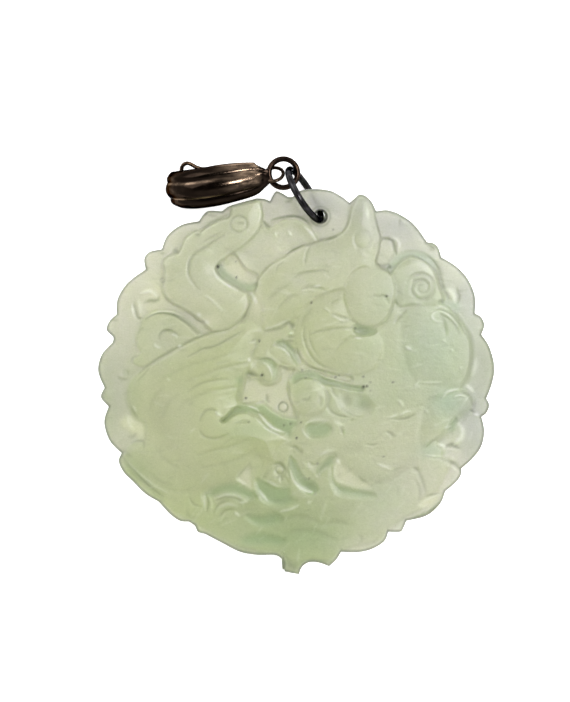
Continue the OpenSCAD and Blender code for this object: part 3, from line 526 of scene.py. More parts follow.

# Raised edges with a painted highlight along them, in photo pixels. Columns: height, half width in pixels,
# paleness of the painted highlight, points
CRESTS = [
    (0.08, 1.1, 0.45, [(206, 296), (212, 300.5), (218, 306), (222, 311)]),
    (0.12, 1.4, 0.80, [(214, 271), (217, 277), (223, 282), (231, 287), (238, 291)]),
    (0.10, 1.3, 0.60, [(251, 293), (254, 298), (256, 304)]),
    (0.08, 1.2, 0.50, [(257, 201), (260, 208), (260.5, 216), (258, 224)]),
    (0.10, 1.8, 0.65, [(304, 227), (309, 231), (313, 236), (315, 240)]),
    (0.08, 1.1, 0.60, [(288, 232), (291, 236)]),
    (0.06, 1.1, 0.45, [(275, 233), (276, 237)]),
    (0.06, 2.2, 0.50, [(367, 209), (368, 219)]),
    (0.08, 1.0, 0.55, [(314, 286.2), (320, 286.2)]),
    (0.06, 1.0, 0.40, [(301, 290.5), (307, 290.5)]),
    (0.06, 1.2, 0.40, [(391, 238), (396, 239.5), (398.5, 245), (397.5, 250)]),
    (0.08, 2.6, 0.60, [(444, 290), (449, 290.5), (453, 296), (454, 302)]),
    (0.10, 1.2, 0.60, [(436, 305.5), (443, 307), (448, 310)]),
    (0.08, 1.1, 0.55, [(439, 311), (446, 314), (452, 319.5), (457, 326)]),
    (0.08, 1.1, 0.45, [(437, 311.5), (432, 314), (431.5, 318), (435, 321.5), (441, 321.5)]),
    (0.06, 2.8, 0.45, [(411, 262), (419, 264), (427, 269), (432, 275)]),
    (0.10, 1.6, 0.70, [(405, 347), (410, 349.5)]),
    (0.06, 1.3, 0.40, [(442, 340), (445, 342)]),
    (0.06, 1.2, 0.30, [(450, 350), (452, 351)]),
    (0.06, 1.2, 0.30, [(459, 367), (461, 369)]),
    (0.08, 1.2, 0.55, [(355, 338), (361, 338.6)]),
    (0.08, 1.0, 0.35, [(344, 330), (350, 330.3)]),
    (0.08, 1.0, 0.45, [(333, 316.5), (339, 319.5), (344, 321)]),
    (0.08, 1.0, 0.35, [(324, 308), (330, 312)]),
    (0.06, 1.3, 0.35, [(414, 386), (418, 381.5)]),
    (0.06, 1.0, 0.30, [(419, 382.5), (430, 382.8), (440, 382.5)]),
    (0.12, 1.8, 0.60, [(141, 294), (147, 291.5), (153, 292.5), (157, 297)]),
    (0.08, 1.5, 0.50, [(138.5, 300), (140, 306), (141, 313)]),
    (0.08, 1.2, 0.65, [(154.5, 343.5), (157, 346.5), (161, 348)]),
    (0.10, 1.4, 0.80, [(178.5, 346.5), (181.5, 345.5)]),
    (0.06, 1.1, 0.45, [(172, 334), (176, 335.5), (178, 338.5)]),
    (0.08, 1.0, 0.35, [(149, 317), (156, 312.8), (164, 311.5), (173, 312.5), (182, 316)]),
    (0.10, 1.8, 0.60, [(198, 313.5), (201, 316.5)]),
    (0.10, 1.8, 0.55, [(206, 321), (209, 325)]),
    (0.06, 1.0, 0.45, [(168, 378), (170, 380.5)]),
    (0.06, 1.0, 0.40, [(134, 405), (137, 411)]),
    (0.05, 1.6, 0.30, [(128, 417), (130, 424), (134, 429)]),
    (0.06, 1.2, 0.28, [(127, 459), (135, 468), (146, 477.5), (157, 486), (168, 492)]),
    (0.10, 1.2, 0.60, [(248.5, 358.5), (250, 362)]),
    (0.08, 1.3, 0.45, [(252, 362), (252, 369)]),
    (0.10, 1.2, 0.60, [(264, 362.5), (269, 367), (272, 373), (272.5, 378)]),
    (0.10, 1.2, 0.60, [(278, 346.5), (285, 350.3), (290, 356)]),
    (0.10, 1.3, 0.70, [(289.5, 333), (293, 333.6)]),
    (0.08, 1.0, 0.40, [(265, 328.5), (274, 326.5), (283, 322.5), (290, 319.5)]),
    (0.08, 1.0, 0.45, [(272, 346.5), (276, 343.5)]),
    (0.10, 1.2, 0.60, [(216, 411), (219, 414), (221.5, 415.5)]),
    (0.10, 1.1, 0.95, [(259.5, 413.5), (263, 418), (267, 422.5), (272, 427), (277, 429.5), (284, 432)]),
    (0.06, 0.9, 0.70, [(255, 416.5), (260, 422), (266, 428), (273, 432), (279, 435), (285, 439)]),
    (0.08, 1.0, 0.55, [(248, 405.8), (255, 408), (259, 411)]),
    (0.08, 1.1, 0.50, [(313, 379), (318, 381.5), (322, 385.5), (325, 389)]),
    (0.08, 1.2, 0.40, [(305, 424), (310, 420.8), (318, 420), (327, 421)]),
    (0.06, 1.3, 0.35, [(302, 429), (305, 434), (309, 438)]),
    (0.06, 2.0, 0.40, [(334, 421), (338, 424), (342, 425)]),
    (0.05, 1.5, 0.20, [(337, 398), (341, 405), (348, 411)]),
    (0.08, 1.2, 0.45, [(256, 403), (262, 402)]),
    (0.12, 1.3, 0.90, [(294, 480), (298, 485), (304, 489.3), (312, 492)]),
    (0.06, 1.2, 0.35, [(291, 470), (292.5, 477), (295, 484)]),
    (0.06, 1.6, 0.35, [(320, 455), (326, 451.5), (333, 450)]),
    (0.06, 1.8, 0.35, [(303, 462), (309, 467), (313, 471)]),
    (0.12, 1.6, 0.75, [(336.5, 459), (339, 463)]),
    (0.08, 1.3, 0.60, [(259, 490), (262.5, 495), (267, 500)]),
    (0.06, 1.7, 0.26, [(215, 498), (225, 494.5), (236, 494.8), (245, 500)]),
    (0.08, 1.8, 0.45, [(241, 502), (246, 501.5)]),
    (0.06, 1.7, 0.24, [(216, 512), (221, 506), (229, 503.5), (237, 506)]),
    (0.06, 1.6, 0.45, [(235, 511.5), (239, 515.5)]),
    (0.05, 1.6, 0.26, [(201, 494), (204, 502), (205, 509)]),
    (0.04, 1.4, 0.20, [(209, 496), (212, 503), (211, 510)]),
    (0.06, 2.0, 0.35, [(307, 503), (311, 501)]),
    (0.06, 1.4, 0.40, [(280, 511), (290, 508.5), (298, 505)]),
    (0.06, 1.6, 0.35, [(376, 463), (383, 466.5), (391, 469.5)]),
    (0.08, 1.2, 0.45, [(389, 417.5), (396, 415)]),
    (0.10, 1.3, 0.55, [(400, 414.5), (405, 411.8), (409, 411)]),
    (0.06, 1.1, 0.40, [(397, 400), (400.5, 402.5), (402, 407)]),
    (0.06, 1.2, 0.40, [(424, 409), (427.5, 412.5)]),
    (0.10, 1.3, 0.60, [(442, 398), (445, 393.5), (450, 391), (458, 389.3)]),
    (0.08, 1.2, 0.50, [(453, 397), (459, 394.8), (465, 396.5)]),
    (0.08, 1.6, 0.50, [(465, 384.5), (469, 387.5), (473, 392)]),
    (0.06, 2.4, 0.40, [(475, 359), (474, 367), (471, 376)]),
    (0.10, 1.5, 0.55, [(473, 413.5), (478, 416)]),
    (0.08, 1.3, 0.50, [(444, 427.5), (450, 426)]),
    (0.08, 2.4, 0.60, [(458, 424), (461.5, 431), (460, 438), (454, 444)]),
    (0.08, 1.2, 0.55, [(424, 455), (433, 456), (441, 456)]),
    (0.08, 1.3, 0.50, [(437, 443.5), (443, 446), (443.5, 453)]),
    (0.10, 1.5, 0.40, [(447, 465.5), (452, 466.5), (456, 471)]),
    (0.08, 1.4, 0.45, [(421, 503), (426, 499), (434, 496)]),
]

# Small rings cut round a point, with painted shade in them, in photo pixels. Columns: across, down, radius,
# half width, depth, darkness
RINGS = [
    (239, 225, 8.0, 1.2, 0.12, 0.30),
    (362.5, 240.5, 8.5, 1.6, 0.06, 0.14),
    (283, 407, 4.6, 0.9, 0.10, 0.70),
    (279.5, 469.5, 4.0, 1.2, 0.12, 0.35),
    (163, 280.5, 2.2, 0.9, 0.14, 0.50),
]

# Round pits in the carving with painted shade in them, in photo pixels, and how steep their edges are.
# Columns: across, down, half width, half height, depth, darkness
PIT_POWER = 1.5
PITS = [
    (198.5, 235, 4.0, 2.6, 0.20, 0.38), (176, 251.5, 3.4, 3.0, 0.25, 0.42),
    (389, 267.5, 2.0, 1.6, 0.20, 0.80),
    (362, 331, 7, 4, 0.15, 0.35), (364, 406, 7, 5, 0.10, 0.35), (346, 400, 5, 6, 0.08, 0.28),
    (292, 326, 3, 3, 0.20, 0.45), (262, 375.5, 2.0, 1.8, 0.20, 0.90), (126, 373, 4, 4, 0.12, 0.30),
    (104.5, 394, 2.5, 5, 0.10, 0.40), (432, 247, 5, 3.5, 0.12, 0.45), (415.5, 469.5, 3.4, 3.0, 0.10, 0.25),
    (291, 566, 8, 6, 0.05, 0.45), (300, 451, 3, 2, 0.10, 0.35), (309, 486, 5, 4, 0.08, 0.30),
    (351, 449, 10, 6, 0.05, 0.12), (241, 224, 4.0, 1.2, 0.08, 0.35),
]

# The cloud's spiral line, in photo pixels: middle, first and last radius, first bearing and turns
SPIRAL_AT = (420.5, 288.0)
SPIRAL_R = (15.5, 2.5)
SPIRAL_FROM = 200.0
SPIRAL_TURNS = 2.1
SPIRAL_POINTS = 70
# Its stroke: half width in pixels, height, darkness of its painted shade
SPIRAL_STROKE = (1.5, -0.12, 0.26)

# Tool marks: how many, their seed and the point in photo pixels that they fan out from
SCRATCHES = 520
SCRATCH_SEED = 5
SCRATCH_FAN = (560.0, 300.0)
# How far they stray from the fan in radians, half lengths and half widths in pixels, height, and tones:
# painted shade in sunk marks, a painted highlight on raised ones
SCRATCH_STRAY = 0.35
SCRATCH_REACH = (3.0, 9.0)
SCRATCH_W = (0.9, 1.6)
SCRATCH_HEIGHT = 0.02
SCRATCH_TONE = (0.05, 0.20)

# Soft changes of the stone's colour, in photo pixels. Columns: across, down, half width, half height,
# strength, colour of the palette
TINTS = [
    (216, 400, 68, 80, 0.85, "olive"),
    (236, 395, 18, 50, 0.35, "leaf"),
    (104, 395, 22, 66, 0.65, "beige"),
    (134, 474, 18, 20, 0.75, "leaf"),
    (155, 493, 12, 10, 0.50, "leaf"),
    (258, 302, 5, 12, 0.70, "clear"),
    (207, 320, 9, 5, 0.60, "clear"),
    (290, 402, 5, 8, 0.60, "clear"),
    (300, 300, 40, 60, 0.30, "olive"),
    (335, 345, 34, 30, 0.45, "olive"),
    (368, 345, 16, 11, 0.65, "leaf"),
    (388, 350, 12, 28, 0.45, "olive"),
    (394, 398, 18, 14, 0.45, "leaf"),
    (315, 252, 48, 26, 0.60, "cool"),
    (242, 222, 20, 20, 0.50, "cool"),
    (363, 207, 9, 15, 0.65, "frost"),
    (386, 251, 9, 12, 0.55, "rim"),
    (386, 251, 8, 10, 0.30, "clear"),
    (300, 282, 14, 8, 0.50, "cool"),
    (200, 270, 44, 46, 0.55, "cool"),
    (160, 340, 26, 24, 0.60, "cool"),
    (415, 278, 30, 26, 0.50, "cool"),
    (157, 292, 10, 22, 0.62, "clear"),
    (455, 442, 8, 14, 0.45, "clear"),
    (188, 298, 30, 12, 0.35, "clear"),
    (212, 322, 10, 6, 0.40, "clear"),
    (264, 306, 10, 16, 0.40, "clear"),
    (276, 250, 22, 10, 0.40, "clear"),
    (238, 267, 11, 9, 0.60, "clear"),
    (303, 362, 4, 9, 0.60, "clear"),
    (178, 408, 24, 34, 0.70, "body"),
    (258, 430, 28, 10, 1.00, "leaf"),
    (384, 302, 12, 18, 0.30, "leaf"),
    (376, 342, 8, 10, 0.35, "leaf"),
    (408, 365, 10, 16, 0.65, "leaf"),
    (240, 387, 5, 12, 0.40, "leaf"),
    (240, 380, 4, 4, 0.50, "deep"),
    (438, 345, 45, 50, 0.90, "mint"),
    (458, 350, 12, 34, 0.40, "leaf"),
    (400, 285, 34, 30, 0.35, "mint"),
    (350, 400, 40, 26, 0.35, "mint"),
    (300, 385, 14, 10, 0.35, "leaf"),
    (262, 462, 22, 30, 0.45, "olive"),
    (276, 518, 92, 40, 0.80, "leaf"),
    (306, 538, 34, 12, 0.35, "deep"),
    (362, 545, 26, 10, 0.60, "rim"),
    (400, 520, 34, 16, 0.50, "rim"),
    (385, 495, 30, 26, 0.30, "mint"),
    (190, 505, 50, 26, 0.50, "olive"),
    (300, 556, 46, 20, 0.60, "leaf"),
    (272, 445, 22, 26, 0.25, "olive"),
    (450, 415, 26, 30, 0.35, "mint"),
    (448, 402, 18, 14, 0.50, "teal"),
    (430, 450, 14, 8, 0.45, "teal"),
    (134, 392, 8, 26, 0.35, "leaf"),
    (486, 365, 17, 60, 0.95, "beige"),
    (472, 292, 14, 30, 0.80, "frost"),
    (405, 225, 50, 22, 0.80, "frost"),
    (320, 202, 36, 14, 0.75, "frost"),
    (476, 430, 18, 40, 0.80, "frost"),
    (438, 265, 26, 26, 0.35, "frost"),
    (474, 450, 10, 16, 0.45, "beige"),
    (108, 405, 10, 34, 0.25, "leaf"),
    (420, 480, 34, 36, 0.45, "rim"),
    (362, 402, 9, 7, 0.30, "deep"),
]
# Share of each coloured layer of the carving in the stone's colour
LAYERS = {"deep": 0.60, "clear": 0.70, "teal": 0.40}
# Heights in millimetres between which the back turns into the face, and height where the stone is thick
FACE_FROM = (RIM_TOP - 0.9, RIM_TOP - 0.5)
THICK_AT = 0.22
# Share of the rim's colour in thin stone near the middle, what is added further out, and the radii in
# millimetres over which it is added
THIN_SHARE = 0.25
THIN_MORE = 0.60
THIN_RADII = (13.0, 19.0)
# Share of the painted shade of the carving's lines, pits and walls in the stone's colour
LINE_SHARE = 0.95
# Painted shade along the rim's outline: pixels from the outline over which it fades, and its share
OUTLINE_FADE = (0.8, 3.2)
OUTLINE_SHARE = 0.85
# Painted shade inside the hole, from and to in millimetres past its radius, and the faint ring of painted
# shade round it:
# how far out, how wide and its share
HOLE_DARK = (-0.05, 0.12)
HOLE_RING = (0.42, 0.14, 0.55)
# Share of a speck's radius where it is fully dark
SPECK_CORE = 0.3
# Colours of the stone, as sRGB from 0 to 255
PALETTE = {
    "body": (205, 207, 180),
    "rim": (219, 215, 209),
    "olive": (197, 202, 157),
    "mint": (193, 203, 182),
    "leaf": (179, 190, 147),
    "deep": (152, 178, 132),
    "teal": (166, 190, 168),
    "clear": (231, 229, 208),
    "frost": (190, 190, 190),
    "beige": (184, 186, 172),
    "cool": (210, 211, 193),
    # painted shade of cuts, pits, walls, form edges and the ring round the hole
    "line": (124, 134, 98),
    # painted shade along the rim's outline
    "edge": (108, 114, 98),
    "painted_highlight": (255, 255, 252),
    # dark specks, also the painted shade inside the hole
    "speck_and_hole_shade": (26, 28, 22),
}

# Dark specks in the stone, in photo pixels. Columns: across, down, radius, darkness
SPECKS = [
    (218, 267, 2.6, 0.95), (363.3, 386.5, 2.3, 0.95), (366.5, 386.0, 2.0, 0.9), (236.5, 277.5, 1.7, 0.8),
    (386, 296.5, 1.9, 0.8), (296.5, 437.5, 1.9, 0.85), (236, 262, 1.3, 0.5), (262.2, 375, 1.9, 0.8),
    (301, 422, 1.8, 0.6), (305.5, 378, 1.6, 0.5), (335.5, 377, 1.8, 0.6), (339, 375.3, 1.5, 0.5),
    (246, 398, 1.9, 0.8), (259.5, 341, 1.8, 0.8), (392.5, 382, 1.7, 0.7), (333, 230, 1.6, 0.5),
    (383, 456, 1.6, 0.6), (317.5, 463, 1.6, 0.5), (311.2, 303, 1.9, 0.7), (363, 376.5, 1.8, 0.6),
    (370, 382, 1.7, 0.45), (370, 390.5, 1.6, 0.35), (302, 370, 1.9, 0.5), (249, 421.5, 1.7, 0.4),
    (309, 478, 1.7, 0.45), (290.5, 423.5, 2.0, 0.5), (284, 425, 1.9, 0.5), (355, 328.5, 1.9, 0.5),
]

# Fine marks inside the stone. Columns: scale of the noise, its stretch, width of a mark in parts of the
# noise, share, tint, how the tint is laid on
STONE_MARKS = [
    (520.0, (0.5, 1.3, 1.0), 0.012, 0.55, (0.84, 0.87, 0.78), "MULTIPLY"),
    (640.0, (0.6, 1.2, 0.8), 0.010, 0.60, (0.09, 0.08, 0.09), "ADD"),
]

# Metals. Columns: colour of the dark skin, colour where it is worn, also used for the bail's painted
# reflection, least roughness, scale of the grain
METALS = {
    "dark_steel": ((0.012, 0.011, 0.012), (0.40, 0.40, 0.42), 0.10, 1100.0),
    "brown_bronze": ((0.016, 0.011, 0.009), (0.22, 0.13, 0.08), 0.12, 1100.0),
    "bail_bronze": ((0.012, 0.008, 0.006), (0.42, 0.30, 0.21), 0.10, 900.0),
    "gate_bronze": ((0.022, 0.014, 0.010), (0.26, 0.16, 0.09), 0.12, 1100.0),
}
METAL_TINT = (0.32, 0.33, 0.34, 1.0)
# Spots on the metal: how much finer they are than its grain, and how much rougher they make it
SPOT_SCALE = 1.7
SPOT_ROUGH = 0.12
# Angle in degrees past which an edge of a metal piece is drawn sharp
SHARP_ANGLE = 40
# How worn the metal is, from 0 to 1: each piece, and on the bail's shell its flutes, the two stripes beside
# the middle crest, the crown and the rubbed side; the stripes and the rubbed side are wear and painted
# reflection both
JUMP_WEAR = 0.10
LINK_WEAR = 0.14
FITTING_WEAR = 0.30
GATE_WEAR = 0.45
FLUTE_WEAR = 0.05
STRIPE_WEAR_AND_REFLECTION = 0.80
CROWN_WEAR = 0.08
SIDE_WEAR_AND_REFLECTION = 0.90
# Where that wear is, in shares of the shell's length or of its half width
STRIPE_AT = 0.40
STRIPE_W = 0.05
STRIPE_RUN = (0.42, 0.66)
CROWN_RUN = (0.85, 1.0)
SIDE_START = (0.06, 0.14)
SIDE_STOP = (0.18, 0.56)
SIDE_ACROSS = (-0.5, 0.1)

# Square soft lights that face the disc. Columns: place and side in metres, power in watts
LIGHTS = {
    "key": ((-0.30, 0.30, 0.40), 0.40, 1.1),
    "glint": ((0.13, 0.06, 0.46), 0.13, 0.9),
    "edge": ((0.26, 0.18, 0.34), 0.05, 0.18),
    "fill": ((0.40, -0.25, 0.35), 0.35, 0.35),
    "back": ((0.25, 0.45, 0.25), 0.20, 0.25),
}
# Pale dome round the scene, and how it dims towards its top
DOME_COLOUR = (1.0, 0.99, 0.97, 1.0)
DOME = {"From Min": 0.72, "From Max": 0.95, "To Min": 0.74, "To Max": 0.10}


def srgb(colour):
    """Linear colour of an sRGB one from 0 to 255."""
    c = np.array(colour) / 255.0
    return np.where(c <= 0.04045, c / 12.92, ((c + 0.055) / 1.055) ** 2.4)


def smooth_step(v, low, high):
    """Rises from 0 to 1 between low and high."""
    t = np.clip((v - low) / (high - low), 0.0, 1.0)
    return t * t * (3.0 - 2.0 * t)


def bell(distance, width):
    """Bell curve that is 1 at no distance."""
    return np.exp(-((distance / width) ** 2))


def curve(points, steps=FORM_STEPS, closed=False):
    """Smooth curve through the points, with a number of steps between each two."""
    p = np.array(points, float)
    n = len(p)
    t = (np.arange(steps) / steps)[:, None]
    out = []
    for i in range(n if closed else n - 1):
        if closed:
            a, b, c, d = p[(i - 1) % n], p[i], p[(i + 1) % n], p[(i + 2) % n]
        else:
            a, b, c, d = p[max(i - 1, 0)], p[i], p[i + 1], p[min(i + 2, n - 1)]
        bend = (2 * a - 5 * b + 4 * c - d) * t**2 + (3 * b - a - 3 * c + d) * t**3
        out.append(0.5 * (2 * b + (c - a) * t + bend))
    if not closed:
        out.append(p[-1:])
    return np.concatenate(out)


def to_line(x, y, line):
    """Distance of each place to a line of points, and how far along the line its nearest point is."""
    best = np.full(x.shape, 1e9)
    along = np.zeros(x.shape)
    lengths = np.maximum(np.linalg.norm(np.diff(line, axis=0), axis=1), 1e-6)
    start = np.concatenate([[0.0], np.cumsum(lengths)])
    for (ax, ay), (bx, by), s, length in zip(line[:-1], line[1:], start, lengths):
        ux, uy = (bx - ax) / length, (by - ay) / length
        t = np.clip((x - ax) * ux + (y - ay) * uy, 0.0, length)
        d = np.hypot(x - ax - t * ux, y - ay - t * uy)
        near = d < best
        best = np.where(near, d, best)
        along = np.where(near, (s + t) / start[-1], along)
    return best, along


def is_inside(x, y, ring):
    """Whether each place is inside a closed line of points."""
    inside = np.zeros(x.shape, bool)
    for (ax, ay), (bx, by) in zip(ring, np.roll(ring, -1, axis=0)):
        if ay != by:
            inside ^= ((ay > y) != (by > y)) & (x < (bx - ax) * (y - ay) / (by - ay) + ax)
    return inside


def placed(points, roll, heading, at):
    """Points turned about X, then about Z, in degrees, then moved, in millimetres."""
    x, y, z = np.asarray(points, float).T
    a, b = radians(roll), radians(heading)
    y, z = y * cos(a) - z * sin(a), y * sin(a) + z * cos(a)
    x, y = x * cos(b) - y * sin(b), x * sin(b) + y * cos(b)
    return np.stack([x, y, z], 1) + at


def level_step(bearing, length):
    """A level step at a bearing in degrees."""
    return length * np.array([cos(radians(bearing)), sin(radians(bearing)), 0.0])


def places():
    """Middles of jump ring and hole, the bail's origin and the link ring's middle, in millimetres."""
    low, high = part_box("jump_ring")
    jump = np.array(low + high) / 2 / MM
    drop, climb = jump[2] - RIM_LIFT - HOLE_BEVEL, jump[2] - RIM_TOP + HOLE_BEVEL
    inner, outer = JUMP_R - JUMP_WIRE / 2, JUMP_R + JUMP_WIRE / 2
    out = (sqrt(inner**2 - drop**2) + sqrt(outer**2 - climb**2)) / 2
    aside = (jump[2] - RIM_LIFT - RIM_T / 2) * tan(radians(JUMP_LEAN))
    hole = jump - level_step(JUMP_BEARING, out) - level_step(JUMP_BEARING + 90, aside)
    hinge = np.array(frame["joints"][0]["pos_m"]) / MM
    bail = hinge - placed([(-HINGE_BACK, 0.0, HINGE_Z)], BAIL_ROLL, BAIL_HEADING, 0.0)[0]
    link = bail - level_step(BAIL_HEADING + 180 - LINK_SLIDE, LINK_R)
    return jump, hole, bail, link


JUMP_AT, HOLE_AT, BAIL_AT, LINK_AT = places()


def rim_table():
    """Bearing in degrees and radius in millimetres along the rim's outline."""
    points = np.concatenate([curve(row, RIM_STEPS)[:-1] for row in RIM])
    x = (points[:, 0] - DISC_PX[0]) * PHOTO_MM
    y = (DISC_PX[1] - points[:, 1]) * PHOTO_MM
    bearing = np.degrees(np.arctan2(y, x)) % 360
    order = np.argsort(bearing)
    return bearing[order], np.hypot(x, y)[order]


RIM_BEARING, RIM_REACH = rim_table()


def rim_reach(bearing):
    """Radius of the rim at a bearing in radians, in millimetres."""
    return np.interp(np.degrees(bearing) % 360, RIM_BEARING, RIM_REACH, period=360)


def soft_reach(bearing):
    """That radius, averaged over the scallops nearby."""
    turns = range(-SCALLOP_SPAN, SCALLOP_SPAN + 1)
    return np.mean([rim_reach(bearing + radians(turn)) for turn in turns], axis=0)


def blurred(grid, reach):
    """The grid, smoothed over a reach in photo pixels."""
    n = int(3 * reach / GRID_STEP)
    kernel = bell(np.arange(-n, n + 1) * GRID_STEP, reach)
    kernel /= kernel.sum()
    for axis in (0, 1):
        grid = np.apply_along_axis(np.convolve, axis, grid, kernel, mode="same")
    return grid


class Carving:
    """The carved face on a grid of photo pixels: height above the rim's face, tones of the stone, and painted
    shade and painted highlights along its edges, cuts, pits and walls.
    """

    def __init__(self):
        across = np.arange(GRID_FROM[0], GRID_TO[0], GRID_STEP)
        down = np.arange(GRID_FROM[1], GRID_TO[1], GRID_STEP)
        self.px, self.py = np.meshgrid(across, down)
        self.height = np.zeros(self.px.shape)
        self.dark = np.zeros(self.px.shape)
        self.painted_highlight = np.zeros(self.px.shape)
        self.layers = {name: np.zeros(self.px.shape) for name in LAYERS}
        across, twist, down = WANDER_TURN
        swing = np.sin(self.px * across + WANDER_TWIST * np.sin(self.py * twist)) * np.sin(self.py * down)
        self.wander = WANDER_MID + WANDER_SWING * swing
        for form in FORMS.values():
            self.add_form(*form)
        for depth, width, darkness, points in CUTS:
            self.add_stroke(curve(points), width, -depth, darkness)
        for height, width, paleness, points in CRESTS:
            self.add_stroke(curve(points), width, height, paleness)
        self.add_spiral()
        self.add_scratches()
        for x, y, radius, width, depth, darkness in RINGS:
            self.add_bump(bell(np.hypot(self.px - x, self.py - y) - radius, width), depth, darkness)
        for x, y, rx, ry, depth, darkness in PITS:
            reach = ((self.px - x) / rx) ** 2 + ((self.py - y) / ry) ** 2
            self.add_bump(np.exp(-(reach**PIT_POWER)), depth, darkness)
        self.shade_walls()
        self.fade_to_rim()
        self.layers = {name: blurred(layer, LAYER_BLUR) for name, layer in self.layers.items()}

    def window(self, points, margin):
        """Slices of the grid that hold the points and a margin around them."""
        low = (points.min(axis=0) - margin - GRID_FROM) / GRID_STEP
        high = (points.max(axis=0) + margin - GRID_FROM) / GRID_STEP
        return tuple(slice(max(int(low[a]), 0), int(high[a]) + 2) for a in (1, 0))

    def add_form(self, low, crown, shoulder, soft, colour, outline):
        """Lays one raised or sunk form over what is there, with painted shade just outside its edge and a
        painted highlight just inside.
        """
        ring = curve(outline, closed=True)
        at = self.window(ring, FORM_MARGIN)
        x, y = self.px[at], self.py[at]
        d, _ = to_line(x, y, np.vstack([ring, ring[:1]]))
        d = np.where(is_inside(x, y, ring), d, -d)
        cover = smooth_step(d, -soft / 2, soft / 2)
        top = low + crown * (1.0 - (1.0 - np.clip(d / shoulder, 0.0, 1.0)) ** 2)
        step = np.clip(np.abs(low - self.height[at]) / STEP_FULL, 0.0, 1.0)
        self.height[at] = self.height[at] * (1.0 - cover) + top * cover
        sharp = step if soft < SHARP_BELOW else 0.0 * step
        wander = self.wander[at]
        for tones, (place, width, tone), strength in (
            (self.dark, EDGE_LINE, wander),
            (self.painted_highlight, EDGE_GLINT, 2 * WANDER_MID - wander),
        ):
            line = tone * sharp * strength * bell(d - place, width)
            tones[at] = np.maximum(tones[at] * (1.0 - cover), line)
        for name, layer in self.layers.items():
            layer[at] *= 1.0 - cover
            if name == colour:
                layer[at] += cover

    def add_stroke(self, line, width, height, strength):
        """A cut with painted shade where the height is below zero, or a crest with a painted highlight, with
        tapered ends.
        """
        at = self.window(line, STROKE_MARGIN * width)
        if not self.px[at].size:
            return
        d, along = to_line(self.px[at], self.py[at], line)
        taper = STROKE_END + (1.0 - STROKE_END) * np.sqrt(np.sin(pi * np.clip(along, 0.02, 0.98)))
        bump = bell(d, width * taper) * taper
        self.height[at] += height * bump
        tone = self.dark if height < 0 else self.painted_highlight
        tone[at] = np.maximum(tone[at], strength * bump)

    def add_spiral(self):
        turn = np.linspace(0.0, 1.0, SPIRAL_POINTS)
        a = np.radians(SPIRAL_FROM) + turn * SPIRAL_TURNS * 2 * pi
        r = SPIRAL_R[0] + (SPIRAL_R[1] - SPIRAL_R[0]) * turn
        line = np.stack([SPIRAL_AT[0] + r * np.cos(a), SPIRAL_AT[1] + r * np.sin(a)], 1)
        self.add_stroke(line, *SPIRAL_STROKE)

    def add_scratches(self):
        """Faint short tool marks all over the face, fanned out from a point at the right: sunk ones with
        painted shade, raised ones with a painted highlight.
        """
        rng = np.random.default_rng(SCRATCH_SEED)
        for _ in range(SCRATCHES):
            x, y = rng.uniform(GRID_FROM, GRID_TO)
            turn = np.arctan2(y - SCRATCH_FAN[1], x - SCRATCH_FAN[0]) + rng.normal(0.0, SCRATCH_STRAY)
            reach = rng.uniform(*SCRATCH_REACH)
            ends = [(x + way * reach * cos(turn), y + way * reach * sin(turn)) for way in (-1, 1)]
            height = rng.choice([-SCRATCH_HEIGHT, SCRATCH_HEIGHT])
            width = rng.uniform(*SCRATCH_W)
            self.add_stroke(np.array(ends), width, height, rng.uniform(*SCRATCH_TONE))

    def add_bump(self, bump, depth, darkness):
        """Sinks the face where the bump is, and paints shade into it."""
        self.height -= depth * bump
        self.dark = np.maximum(self.dark, darkness * bump)

    def shade_walls(self):
        """Paints shade on steep walls: they are darkened in the stone's colour."""
        down, across = np.gradient(self.height, GRID_STEP * PHOTO_MM)
        steep = np.clip(np.hypot(down, across) - WALL_FROM, 0.0, WALL_SPAN) / WALL_SPAN
        self.dark = np.clip(np.maximum(self.dark, WALL_PAINTED_SHADE * steep), 0.0, 1.0)

    def fade_to_rim(self):
        """The carving dies out towards the rim's outline. The distance to it is kept for the colour."""
        outline = np.concatenate([curve(row, FADE_STEPS)[:-1] for row in RIM])
        closed = np.vstack([outline, outline[:1]])
        self.inner, _ = to_line(self.px, self.py, closed)
        self.height *= RELIEF * smooth_step(self.inner, *RIM_FADE)

    def sample(self, grid, x, y):
        """Values of a grid at places in millimetres."""
        px = np.clip((DISC_PX[0] + x / PHOTO_MM - GRID_FROM[0]) / GRID_STEP, 0, grid.shape[1] - 1.001)
        py = np.clip((DISC_PX[1] - y / PHOTO_MM - GRID_FROM[1]) / GRID_STEP, 0, grid.shape[0] - 1.001)
        i, j = py.astype(int), px.astype(int)
        v, u = py - i, px - j
        top = grid[i, j] * (1 - u) + grid[i, j + 1] * u
        low = grid[i + 1, j] * (1 - u) + grid[i + 1, j + 1] * u
        return top * (1 - v) + low * v


def mesh_object(name, points, faces):
    """A smooth object from points in millimetres."""
    mesh = bpy.data.meshes.new(name)
    mesh.from_pydata((np.asarray(points) * MM).tolist(), [], [tuple(int(i) for i in f) for f in faces])
    mesh.validate()
    mesh.shade_smooth()
    obj = bpy.data.objects.new(name, mesh)
    bpy.context.scene.collection.objects.link(obj)
    return obj


def grid_faces(rows, columns):
    """Quads of a tube of points, row by row."""
    r = np.arange(rows - 1)[:, None]
    c = np.arange(columns)[None, :]
    n = (c + 1) % columns
    corners = [r * columns + c, r * columns + n, (r + 1) * columns + n, (r + 1) * columns + c]
    return np.stack(corners, -1).reshape(-1, 4)


def capped_faces(rows, columns):
    """Faces of such a tube with both its ends closed."""
    last = (rows - 1) * columns
    ends = [tuple(range(columns))[::-1], tuple(range(last, last + columns))]
    return grid_faces(rows, columns).tolist() + ends


